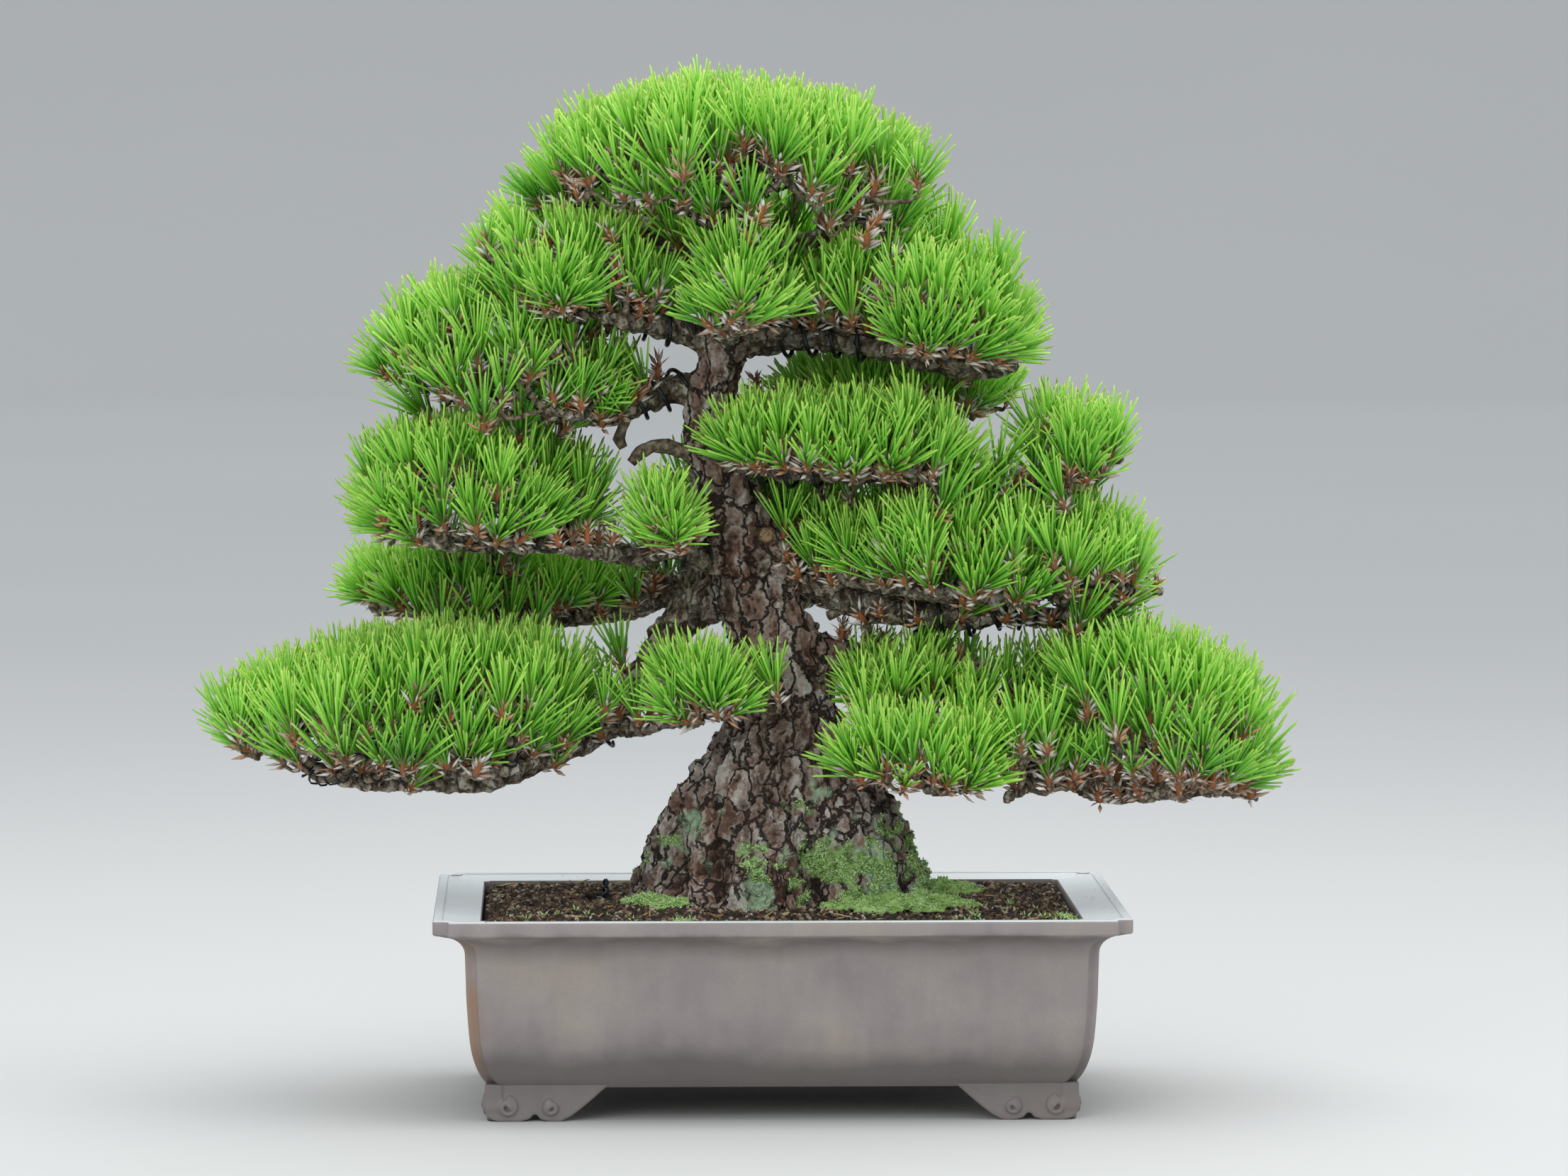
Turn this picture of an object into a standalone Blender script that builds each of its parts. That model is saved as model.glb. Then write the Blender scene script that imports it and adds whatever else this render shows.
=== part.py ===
"""A Japanese black pine bonsai in an unglazed rectangular pot with notched corners and cloud feet.

Metres, +Z up, +X to the tree's right as seen from its front, -Y towards the viewer.
Everything is modelled about the centre of the pot's footprint, and moved at the end so that the
origin is the bottom centre of the whole object's box.
"""

import math

import bmesh
import bpy
from mathutils import Vector
from mathutils.bvhtree import BVHTree

MM = 0.001

# The pot
RIM_WIDTH = 450 * MM
RIM_DEPTH = 315 * MM
POT_HEIGHT = 133 * MM
FOOT_HEIGHT = 22 * MM
RIM_BAND = 10 * MM
RIM_OVERHANG = 20.5 * MM
LIP_WIDTH = 31 * MM
LIP_FALL = 2.5 * MM
BEAD_WIDTH = 6 * MM
BEAD_HEIGHT = 0.9 * MM
FLOOR_THICKNESS = 10 * MM
CORNER_NOTCH = 10 * MM
WALL_NOTCH = 7 * MM
BASE_TUCK = 15.5 * MM
FOOT_THICKNESS = 12 * MM
FOOT_RUN_FRONT = 79 * MM
FOOT_RUN_SIDE = 62 * MM
DRAIN_RADIUS = 15 * MM
DRAIN_OFFSET = 95 * MM
WIRE_HOLE_RADIUS = 2.5 * MM
WIRE_HOLE_SPREAD = 26 * MM
WIRE_HOLE_CLEARANCE = 10 * MM

# The curve from the pot's floor to its inner wall: rise, and how far it still reaches in
INNER_CURVE = [(0, 12 * MM), (3 * MM, 6.6 * MM), (8 * MM, 2.4 * MM), (16 * MM, 0)]

# What fills the pot
DRAINAGE_DEPTH = 13 * MM
SOIL_BELOW_LIP = 4 * MM
SOIL_MOUND = 9 * MM
SCREEN_SIDE = 46 * MM
SCREEN_THICKNESS = 1.2 * MM
STAPLE_WIRE = 1.6 * MM
STAPLE_SPAN = 18 * MM
STAPLE_TAIL = 15 * MM
TIE_WIRE = 2.0 * MM

# The tree: shares of the drawn routes' sizes, and the sizes that don't follow them
TREE_SPREAD = 1.0
TREE_DEPTH = 1.0
TREE_HEIGHT = 1.0
GIRTH = 1.0
TRAINING_WIRE = 3.0 * MM
WIRE_PITCH = 17 * MM
WIRE_CLEARANCE = 0.7 * MM

# Room between touching pieces
GAP = 0.3 * MM
ROOT_GAP = 2.4 * MM
FOLIAGE_GAP = 6.5 * MM

WOOD_VOXEL = 2.6 * MM
WOOD_TRIANGLES = 7000

# Worked out from the sizes above
SOIL_LINE = POT_HEIGHT - LIP_FALL - SOIL_BELOW_LIP
DRAWN_SOIL_LINE = 126.5

# The trunk's levels, bottom to top, in millimetres: height, centre x, centre y, half width, half depth
TRUNK_LEVELS = [
    (94, 2, 0, 52, 44),
    (106, 2, 0, 80, 62),
    (118, 2, 0, 97, 72),
    (131, 2, 0, 99, 74),
    (144, 5, 0, 92, 69),
    (157, 7, 0, 87, 64),
    (182, 4, 1, 78, 56),
    (207, 4, 2, 66, 48),
    (233, 5, 3, 47, 39),
    (259, 6, 4, 33, 32),
    (285, 5, 6, 31, 30),
    (311, -3, 8, 31, 29),
    (337, -16, 8, 28, 27),
    (362, -23, 8, 28, 27),
    (388, -29, 5, 26, 24),
    (409, -37, 0, 20, 20),
    (434, -45, -4, 17, 17),
    (455, -45, -6, 16, 16),
    (476, -40, -7, 15, 15),
    (497, -34, -8, 15, 15),
    (520, -32, -9, 13, 13),
    (548, -31, -10, 10, 10),
    (575, -29, -13, 8, 8),
    (600, -26, -16, 6, 6),
    (626, -24, -18, 3.5, 3.5),
]

# Surface roots: direction in degrees, half spread in degrees, strength
ROOTS = [
    (182, 20, 0.20),
    (232, 16, 0.10),
    (262, 14, 0.12),
    (318, 22, 0.16),
    (0, 18, 0.12),
    (62, 24, 0.14),
    (122, 22, 0.14),
]
CREASE = (286, 9, 0.17)

# The wire holes clear the widest root and the drain screens
ROOT_REACH = max(half_x + abs(x) for z, x, y, half_x, half_y in TRUNK_LEVELS) * (1 + ROOTS[0][2] / 2)
PAST_ROOTS = ROOT_REACH * GIRTH * MM + WIRE_HOLE_CLEARANCE
PAST_SCREENS = DRAIN_OFFSET + SCREEN_SIDE / 2 + TIE_WIRE / 2 + 4 * GAP
WIRE_HOLE_OFFSET = Vector((max(PAST_ROOTS, PAST_SCREENS), WIRE_HOLE_SPREAD, 0))

# Branches in millimetres: x, y, z, radius, from inside the trunk out to the last twig
BRANCHES = {
    "low_left": [(-20, 12, 332, 16), (-50, 22, 325, 15), (-73, 20, 300, 13.5), (-92, 8, 268, 12.5),
                 (-118, -8, 243, 11.5), (-150, -18, 230, 10.5), (-190, -28, 214, 9.5),
                 (-232, -30, 214, 8.5), (-268, -26, 212, 7), (-304, -18, 220, 5.5), (-336, -8, 233, 4)],
    "low_left_front": [(-142, -16, 234, 8), (-162, -52, 226, 6.5), (-190, -82, 222, 5),
                       (-220, -98, 224, 3.6)],
    "low_left_outer": [(-228, -30, 215, 7), (-258, -62, 213, 5.5), (-292, -82, 219, 3.8)],
    "low_left_back": [(-165, -22, 226, 8), (-205, 14, 222, 6.5), (-250, 42, 222, 5), (-290, 50, 228, 3.6)],
    "low_left_inner": [(-112, -5, 248, 8), (-92, -42, 248, 6.5), (-66, -66, 256, 5), (-34, -72, 260, 3.6)],
    "low_right": [(15, 5, 292, 17), (45, 8, 288, 15), (75, 5, 281, 13.5), (110, -5, 273, 12.5),
                  (135, -18, 262, 11.5), (157, -30, 242, 10.5), (187, -38, 215, 9.5),
                  (226, -40, 204, 8.5), (262, -35, 207, 7), (293, -28, 205, 5.5), (318, -20, 199, 4)],
    "low_right_front": [(104, -4, 274, 8), (92, -48, 246, 6.5), (70, -82, 224, 5.5), (46, -92, 222, 3.6)],
    "low_right_middle": [(133, -20, 262, 7.5), (128, -62, 224, 6), (112, -92, 211, 4.5),
                         (92, -100, 214, 3.6)],
    "low_right_outer": [(166, -33, 232, 7), (160, -72, 212, 5.5), (146, -98, 206, 3.8)],
    "low_right_back": [(150, -26, 248, 8), (188, 14, 236, 6.5), (235, 42, 228, 5), (282, 46, 226, 3.6)],
    "low_right_tip": [(220, -40, 205, 7), (250, -74, 207, 5.5), (282, -86, 208, 3.8)],
    "rear_left": [(-20, 18, 346, 13), (-55, 45, 338, 11), (-95, 65, 320, 9.5), (-140, 75, 314, 8.5),
                  (-185, 80, 313, 7.5), (-230, 80, 315, 6), (-272, 74, 320, 4)],
    "rear_left_back": [(-128, 74, 315, 6.5), (-165, 104, 318, 5), (-205, 114, 322, 3.6)],
    "mid_left": [(-24, -6, 355, 12), (-50, -20, 358, 9.5), (-68, -26, 364, 8.5), (-88, -30, 360, 8),
                 (-105, -30, 362, 8), (-130, -30, 367, 7.5), (-160, -28, 368, 7), (-192, -24, 367, 6),
                 (-222, -18, 368, 5), (-246, -12, 373, 3.8)],
    "mid_left_front": [(-100, -30, 362, 6), (-118, -64, 364, 5), (-150, -84, 368, 3.6)],
    "mid_left_inner": [(-84, -30, 361, 5.5), (-72, -56, 366, 4.5), (-52, -72, 370, 3.6)],
    "mid_left_back": [(-122, -30, 366, 6), (-150, 4, 370, 5), (-190, 26, 374, 3.6)],
    "mid_left_outer": [(-186, -25, 367, 5.5), (-214, -56, 369, 4.5), (-240, -66, 374, 3.6)],
    "upper_left": [(-42, -5, 471, 12), (-60, -10, 470, 11), (-76, -14, 466, 10.5), (-93, -18, 459, 9.5),
                   (-112, -26, 452, 8), (-136, -34, 452, 7), (-160, -38, 451, 6), (-184, -38, 453, 4.2)],
    "upper_left_long": [(-88, -16, 461, 8), (-128, 4, 464, 7), (-168, 14, 466, 6.2), (-205, 17, 466, 5.2),
                        (-242, 14, 474, 3.8)],
    "upper_left_front": [(-118, -28, 452, 5.5), (-132, -62, 454, 4.5), (-158, -80, 457, 3.6)],
    "upper_left_outer": [(-168, 14, 466, 5.5), (-200, -18, 468, 4.6), (-232, -32, 474, 3.6)],
    "mid_right": [(-15, -5, 376, 15), (5, -8, 361, 15), (25, -12, 343, 14), (48, -16, 331, 12.5),
                  (72, -20, 324, 11), (103, -22, 320, 10), (130, -22, 318, 9), (152, -20, 322, 8),
                  (180, -16, 317, 7.5), (206, -12, 324, 6.5), (236, -8, 329, 5), (256, -4, 335, 3.8)],
    "mid_right_front": [(20, -12, 347, 9), (50, -36, 345, 7.5), (82, -50, 339, 6.5), (115, -54, 335, 6),
                        (146, -52, 333, 5), (178, -50, 335, 3.8)],
    "mid_right_back": [(58, -16, 329, 8), (95, 16, 333, 6.5), (135, 34, 335, 5.5), (178, 38, 338, 3.8)],
    "mid_right_outer": [(175, -16, 318, 6), (205, -46, 324, 5), (234, -52, 331, 3.6)],
    "upper_right": [(-44, -8, 431, 12), (-26, -26, 424, 10), (5, -38, 417, 9), (40, -42, 416, 8.5),
                    (80, -40, 413, 8), (120, -36, 411, 7), (160, -30, 407, 6), (190, -24, 411, 5),
                    (214, -18, 417, 3.8)],
    "upper_right_inner": [(-22, -28, 424, 7), (-40, -52, 427, 5.5), (-56, -62, 430, 3.8)],
    "upper_right_front": [(34, -42, 416, 6.5), (58, -68, 416, 5), (90, -78, 417, 3.6)],
    "rear_upper_right": [(-42, 5, 456, 11), (-10, 35, 452, 9.5), (30, 60, 449, 8), (75, 72, 448, 7),
                         (120, 75, 449, 5.5), (150, 72, 453, 3.8)],
    "back_mid": [(-24, 15, 386, 11), (-20, 50, 379, 9), (-10, 85, 377, 7.5), (2, 116, 380, 5),
                 (14, 132, 384, 3.6)],
    "back_low": [(0, 20, 320, 13), (12, 60, 325, 11), (25, 98, 328, 8.5), (38, 130, 332, 6),
                 (52, 146, 337, 3.8)],
    "back_low_side": [(24, 96, 328, 7), (60, 112, 330, 5.5), (92, 120, 335, 3.6)],
    "crown_left": [(-34, -12, 498, 11), (-57, -16, 505, 10), (-78, -22, 511, 9.5), (-103, -26, 516, 9),
                   (-130, -28, 521, 8), (-158, -26, 528, 6.2), (-182, -22, 538, 4)],
    "crown_left_front": [(-82, -23, 512, 7), (-100, -58, 514, 5.5), (-128, -76, 520, 3.8)],
    "crown_right": [(-28, -10, 498, 11), (5, -14, 502, 10), (36, -18, 502, 9.5), (62, -20, 497, 9),
                    (88, -20, 490, 8), (113, -16, 483, 7), (138, -12, 479, 5.5), (160, -8, 484, 3.8)],
    "crown_right_front": [(58, -20, 498, 7), (80, -52, 495, 5.5), (108, -66, 494, 3.8)],
    "crown_front": [(-33, -15, 505, 9), (-32, -50, 509, 8), (-25, -85, 512, 6.2), (-14, -108, 516, 4)],
    "crown_back": [(-32, 2, 514, 10), (-30, 45, 517, 8.5), (-20, 85, 516, 7), (-10, 118, 518, 4.4)],
    "crown_back_left": [(-34, 0, 512, 9), (-75, 36, 516, 8), (-116, 62, 520, 6.2), (-150, 78, 525, 4)],
    "crown_back_right": [(-28, 0, 512, 9), (15, 34, 511, 8), (60, 56, 507, 6.2), (105, 68, 503, 4)],
    "apex_left": [(-31, -10, 546, 8), (-66, -16, 562, 7), (-100, -20, 576, 6), (-136, -18, 590, 4)],
    "apex_right": [(-30, -12, 546, 8), (5, -14, 560, 7), (42, -14, 570, 6), (80, -10, 578, 4)],
    "apex_front": [(-31, -14, 550, 7), (-28, -48, 566, 5.5), (-22, -78, 582, 4)],
    "apex_back": [(-30, -6, 552, 7), (-28, 32, 568, 6), (-20, 62, 580, 4)],
}

# Foliage clouds in millimetres: x range, y range, underside at left, middle and right, top at the same
CLOUDS = {
    "low_left": ((-388, -96), (-122, 80), (238, 212, 240), (290, 320, 320)),
    "low_left_inner": ((-96, 0), (-112, -34), (246, 252, 258), (310, 318, 300)),
    "low_right": ((148, 345), (-124, 82), (206, 204, 190), (322, 322, 276)),
    "low_right_inner": ((22, 150), (-66, 66), (262, 256, 246), (308, 314, 310)),
    "low_right_front": ((14, 160), (-136, -60), (216, 208, 200), (266, 276, 286)),
    "rear_left": ((-306, -66), (20, 142), (322, 312, 318), (362, 372, 356)),
    "mid_left": ((-298, -104), (-110, 70), (372, 364, 364), (440, 460, 436)),
    "mid_left_inner": ((-104, -38), (-110, -36), (364, 364, 366), (426, 424, 404)),
    "upper_left": ((-278, -82), (-106, 72), (474, 448, 452), (530, 552, 502)),
    "mid_right": ((4, 264), (-110, 78), (346, 324, 328), (408, 416, 396)),
    "upper_right": ((-70, 150), (-112, -8), (420, 410, 408), (468, 478, 468)),
    "upper_right_end": ((150, 236), (-80, 36), (408, 406, 420), (474, 482, 462)),
    "rear_upper_right": ((-16, 180), (6, 130), (446, 444, 448), (494, 498, 486)),
    "back_mid": ((-78, 78), (44, 160), (380, 374, 380), (434, 440, 432)),
    "back_low": ((-56, 132), (44, 172), (326, 324, 330), (372, 372, 368)),
    "crown_left": ((-210, -74), (-116, 76), (530, 514, 506), (590, 596, 592)),
    "crown_right": ((16, 184), (-116, 80), (500, 484, 482), (590, 574, 532)),
    "crown_front": ((-74, 18), (-138, -38), (504, 506, 506), (584, 590, 584)),
    "crown_back": ((-126, 100), (54, 164), (512, 510, 508), (592, 598, 582)),
    "crown_top": ((-180, 124), (-124, 98), (588, 584, 580), (650, 678, 640)),
}
CLOUD_FULLNESS = 0.55
CLOUD_WAIST = 0.42

# Wires: the branch each follows, and where along it they start and end, as shares of its length
WIRES = {
    "wire_mid_right": ("mid_right", 0.30, 0.68),
    "wire_mid_left": ("mid_left", 0.12, 0.32),
    "wire_upper_left": ("upper_left", 0.14, 0.40),
    "wire_low_left": ("low_left", 0.30, 0.50),
    "wire_low_right": ("low_right", 0.14, 0.34),
    "wire_upper_right": ("upper_right", 0.16, 0.36),
    "wire_crown_left": ("crown_left", 0.16, 0.52),
    "wire_crown_right": ("crown_right", 0.16, 0.52),
}

# Moss on the soil: centre x and y, half length, half depth, height, in millimetres
MOSS = {
    "moss_right_front": (78, -62, 52, 26, 9),
    "moss_left_front": (-78, -52, 34, 20, 6),
    "moss_right_rear": (112, 26, 26, 34, 7),
    "moss_back": (-30, 92, 46, 20, 7),
}


def clear_scene():
    for obj in list(bpy.data.objects):
        bpy.data.objects.remove(obj)


def new_collection(name):
    collection = bpy.data.collections.new(name)
    bpy.context.scene.collection.children.link(collection)
    return collection


def new_material(name, colour, roughness, metallic=0.0):
    material = bpy.data.materials.new(name)
    material.use_nodes = True
    shader = material.node_tree.nodes["Principled BSDF"]
    shader.inputs["Base Color"].default_value = (*colour, 1.0)
    shader.inputs["Roughness"].default_value = roughness
    shader.inputs["Metallic"].default_value = metallic
    material.diffuse_color = (*colour, 1.0)
    return material


def new_object(name, mesh, collection, material=None):
    obj = bpy.data.objects.new(name, mesh)
    collection.objects.link(obj)
    if material:
        mesh.materials.clear()
        mesh.materials.append(material)
    return obj


def hide(obj):
    """Marks a cutter or guide, which is no part of the object."""
    obj.hide_render = True
    obj.display_type = "WIRE"
    return obj


def evaluated_mesh(obj):
    bpy.context.view_layer.update()
    graph = bpy.context.evaluated_depsgraph_get()
    return bpy.data.meshes.new_from_object(obj.evaluated_get(graph))


def settle(obj):
    """Applies the object's modifiers, keeping its largest body."""
    mesh = evaluated_mesh(obj)
    obj.modifiers.clear()
    obj.data = mesh
    keep_largest_body(mesh)
    return obj


def keep_largest_body(mesh):
    bm = bmesh.new()
    bm.from_mesh(mesh)
    unseen = set(bm.verts)
    bodies = []
    while unseen:
        body, reached = set(), [unseen.pop()]
        while reached:
            vert = reached.pop()
            body.add(vert)
            for edge in vert.link_edges:
                other = edge.other_vert(vert)
                if other in unseen:
                    unseen.discard(other)
                    reached.append(other)
        bodies.append(body)
    bodies.sort(key=lambda body: volume_of(bm, body))
    for body in bodies[:-1]:
        bmesh.ops.delete(bm, geom=list(body), context="VERTS")
    bmesh.ops.triangulate(bm, faces=bm.faces)
    bm.to_mesh(mesh)
    bm.free()


def volume_of(bm, body):
    total = 0.0
    for face in bm.faces:
        if face.verts[0] in body:
            corner = face.verts[0].co
            for one, two in zip(face.verts[1:-1], face.verts[2:]):
                total += corner.dot(one.co.cross(two.co)) / 6
    return abs(total)


def loft(name, rings, collection, material=None):
    """A closed solid through rings of equally many points, capped at both ends."""
    bm = bmesh.new()
    rows = [[bm.verts.new(point) for point in ring] for ring in rings]
    for low, high in zip(rows, rows[1:]):
        for i in range(len(low)):
            j = (i + 1) % len(low)
            bm.faces.new((low[i], low[j], high[j], high[i]))
    bm.faces.new(list(reversed(rows[0])))
    bm.faces.new(rows[-1])
    bmesh.ops.recalc_face_normals(bm, faces=bm.faces)
    bmesh.ops.triangulate(bm, faces=bm.faces)
    mesh = bpy.data.meshes.new(name)
    bm.to_mesh(mesh)
    bm.free()
    return new_object(name, mesh, collection, material)


def smooth_line(points, spans):
    """Points of any dimension on a Catmull-Rom curve through the ones given."""
    points = [tuple(p) for p in points]
    ends = [tuple(2 * a - b for a, b in zip(points[0], points[1]))]
    ends += points
    ends.append(tuple(2 * a - b for a, b in zip(points[-1], points[-2])))
    line = []
    for k in range(1, len(ends) - 2):
        for s in range(spans):
            t = s / spans
            line.append(tuple(
                b + 0.5 * t * (c - a + t * (2 * a - 5 * b + 4 * c - d + t * (3 * b - a - 3 * c + d)))
                for a, b, c, d in zip(*ends[k - 1:k + 3])
            ))
    line.append(points[-1])
    return line


def tube(name, line, collection, material=None, rounding=2):
    """A curve through (x, y, z, radius) points in metres."""
    curve = bpy.data.curves.new(name, "CURVE")
    curve.dimensions = "3D"
    curve.bevel_depth = 1.0
    curve.bevel_resolution = rounding
    curve.use_fill_caps = True
    spline = curve.splines.new("POLY")
    spline.points.add(len(line) - 1)
    for point, (x, y, z, radius) in zip(spline.points, line):
        point.co = (x, y, z, 1.0)
        point.radius = radius
    obj = bpy.data.objects.new(name, curve)
    collection.objects.link(obj)
    if material:
        curve.materials.append(material)
    return obj


def curve_to_mesh(obj, collection, material=None):
    """The curve as a mesh object with its caps welded. The curve is removed."""
    mesh = evaluated_mesh(obj)
    bm = bmesh.new()
    bm.from_mesh(mesh)
    bmesh.ops.remove_doubles(bm, verts=bm.verts, dist=0.00002)
    bmesh.ops.recalc_face_normals(bm, faces=bm.faces)
    bm.to_mesh(mesh)
    bm.free()
    name, place = obj.name, obj.matrix_world.copy()
    bpy.data.objects.remove(obj)
    made = new_object(name, mesh, collection, material)
    made.matrix_world = place
    return made


def box(name, size, centre, collection, material=None):
    bm = bmesh.new()
    bmesh.ops.create_cube(bm, size=1.0)
    bmesh.ops.scale(bm, vec=size, verts=bm.verts)
    mesh = bpy.data.meshes.new(name)
    bm.to_mesh(mesh)
    bm.free()
    obj = new_object(name, mesh, collection, material)
    obj.location = centre
    return obj


def cylinder(name, radius, height, centre, collection, sides=20):
    bm = bmesh.new()
    bmesh.ops.create_cone(bm, cap_ends=True, segments=sides, radius1=radius, radius2=radius, depth=height)
    mesh = bpy.data.meshes.new(name)
    bm.to_mesh(mesh)
    bm.free()
    obj = new_object(name, mesh, collection)
    obj.location = centre
    return obj


def combine(obj, others, operation, solver):
    for other in others:
        modifier = obj.modifiers.new(operation.lower(), "BOOLEAN")
        modifier.operation = operation
        modifier.object = other
        modifier.solver = solver
        hide(other)
    return obj


def cut(obj, *cutters, solver="EXACT"):
    return combine(obj, cutters, "DIFFERENCE", solver)


def union(obj, *others, solver="EXACT"):
    return combine(obj, others, "UNION", solver)


def notched_ring(half_x, half_y, notch, z, outer_round=2.2 * MM, inner_round=2.5 * MM):
    """A rectangle whose corners step in by notch, with its six-point corners rounded."""
    outer_round = min(outer_round, notch * 0.4)
    inner_round = min(inner_round, notch * 0.4)
    corner = []
    for cx, cy, radius, start, turn in (
        (half_x - outer_round, half_y - notch - outer_round, outer_round, 0, 90),
        (half_x - notch + inner_round, half_y - notch + inner_round, inner_round, 270, -90),
        (half_x - notch - outer_round, half_y - outer_round, outer_round, 0, 90),
    ):
        for step in range(3):
            angle = math.radians(start + turn * step / 2)
            corner.append((cx + radius * math.cos(angle), cy + radius * math.sin(angle)))
    ring = [(x, y) for x, y in corner]
    ring += [(-x, y) for x, y in reversed(corner)]
    ring += [(-x, -y) for x, y in corner]
    ring += [(x, -y) for x, y in reversed(corner)]
    return [(x, y, z) for x, y in ring]


def pot_section(inset, z, notch):
    return notched_ring(RIM_WIDTH / 2 - inset, RIM_DEPTH / 2 - inset, notch, z)


def inner_inset(z):
    """How far the pot's inner wall lies inside the rim's edge at a height."""
    rise = z - FOOT_HEIGHT - FLOOR_THICKNESS
    for (low, deep), (high, shallow) in zip(INNER_CURVE, INNER_CURVE[1:]):
        if rise < high:
            return LIP_WIDTH + deep + (shallow - deep) * (rise - low) / (high - low)
    return LIP_WIDTH


def pot_profile():
    """(inset, height, notch) from the inner floor up, over the lip, and down outside to the foot line."""
    top, foot = POT_HEIGHT, FOOT_HEIGHT
    floor = foot + FLOOR_THICKNESS
    inner_notch = WALL_NOTCH * 0.5
    inside = [(LIP_WIDTH + reach, floor + rise, inner_notch) for rise, reach in INNER_CURVE]
    lip = [
        (LIP_WIDTH, top - LIP_FALL - 3 * MM, inner_notch),
        (LIP_WIDTH - 1 * MM, top - LIP_FALL, inner_notch),
        (BEAD_WIDTH + 0.6 * MM, top - BEAD_HEIGHT, CORNER_NOTCH * 0.9),
        (BEAD_WIDTH, top, CORNER_NOTCH * 0.9),
        (1.2 * MM, top, CORNER_NOTCH),
        (0, top - 1.2 * MM, CORNER_NOTCH),
        (0, top - RIM_BAND + 1 * MM, CORNER_NOTCH),
        (1.2 * MM, top - RIM_BAND, CORNER_NOTCH),
    ]
    cove = []
    for step in range(1, 4):
        angle = math.radians(90 * step / 3)
        cove.append((
            4 * MM + (RIM_OVERHANG - 4 * MM) * math.sin(angle),
            top - RIM_BAND - 1 * MM - 13 * MM * (1 - math.cos(angle)),
            WALL_NOTCH,
        ))
    wall = [
        (RIM_OVERHANG + 1 * MM, foot + (top - foot) * 0.50, WALL_NOTCH),
        (RIM_OVERHANG + 3 * MM, foot + 30 * MM, WALL_NOTCH),
        (RIM_OVERHANG + 6 * MM, foot + 16 * MM, WALL_NOTCH),
        (RIM_OVERHANG + 10.5 * MM, foot + 6 * MM, WALL_NOTCH),
        (RIM_OVERHANG + BASE_TUCK, foot, WALL_NOTCH),
    ]
    return inside + lip + cove + wall


def foot_outline(run):
    """A cloud foot's side view: two lobes and a long rising sweep. x from the corner, y up to the pot."""
    height = FOOT_HEIGHT + 3 * MM
    lobe = run * 0.39
    second = run * 0.66
    heel = [(0, height), (0, 9 * MM), (2.5 * MM, 3 * MM), (8 * MM, 0)]
    first_lobe = [(lobe * 0.76, 0), (lobe * 0.95, 2.2 * MM), (lobe, 4.5 * MM)]
    second_lobe = [(lobe + 3 * MM, 4.5 * MM), (lobe + 5 * MM, 2 * MM), (lobe + 10 * MM, 0),
                   (second - 3 * MM, 0)]
    sweep = [(second + 4 * MM, 4 * MM), (run * 0.86, 12 * MM), (run + 2 * MM, height)]
    return heel + first_lobe + second_lobe + sweep


def foot_leg(name, run, collection):
    """A leg as a flat outline with thickness, standing in the XZ plane."""
    curve = bpy.data.curves.new(name, "CURVE")
    curve.dimensions = "2D"
    curve.fill_mode = "BOTH"
    curve.extrude = FOOT_THICKNESS / 2
    spline = curve.splines.new("POLY")
    outline = foot_outline(run)
    spline.points.add(len(outline) - 1)
    for point, (x, y) in zip(spline.points, outline):
        point.co = (x, y, 0.0, 1.0)
    spline.use_cyclic_u = True
    obj = bpy.data.objects.new(name, curve)
    obj.rotation_euler = (math.pi / 2, 0, 0)
    collection.objects.link(obj)
    bpy.context.view_layer.update()
    return curve_to_mesh(obj, collection)


def flatten_place(obj):
    """Puts the object's place into its mesh."""
    obj.data.transform(obj.matrix_world)
    obj.matrix_world.identity()
    obj.location = (0, 0, 0)
    obj.rotation_euler = (0, 0, 0)
    obj.scale = (1, 1, 1)
    return obj


def feet(collection):
    """Four corner feet, each of two legs that meet under the notched corner."""
    foot_inset = RIM_OVERHANG + BASE_TUCK - 3 * MM
    corner_x = RIM_WIDTH / 2 - foot_inset
    corner_y = RIM_DEPTH / 2 - foot_inset
    made = []
    for side_x in (-1, 1):
        for side_y in (-1, 1):
            for along, run in (("x", FOOT_RUN_FRONT), ("y", FOOT_RUN_SIDE)):
                leg = foot_leg(f"cutter_leg_{along}", run, collection)
                flatten_place(leg)
                for vert in leg.data.vertices:
                    run_at, thick, height = vert.co.x, vert.co.y + FOOT_THICKNESS / 2, vert.co.z
                    if along == "x":
                        vert.co = (side_x * (corner_x - run_at), side_y * (corner_y - thick), height)
                    else:
                        # a hair inside the front leg, so that no faces but the soles are flush
                        drop = 0.7 * MM if height > FOOT_HEIGHT else 0
                        across, back = corner_x - 0.3 * MM - thick, corner_y - 0.5 * MM - run_at
                        vert.co = (side_x * across, side_y * back, height - drop)
                bm = bmesh.new()
                bm.from_mesh(leg.data)
                bmesh.ops.recalc_face_normals(bm, faces=bm.faces)
                bm.to_mesh(leg.data)
                bm.free()
                made.append(leg)
    return made


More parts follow.
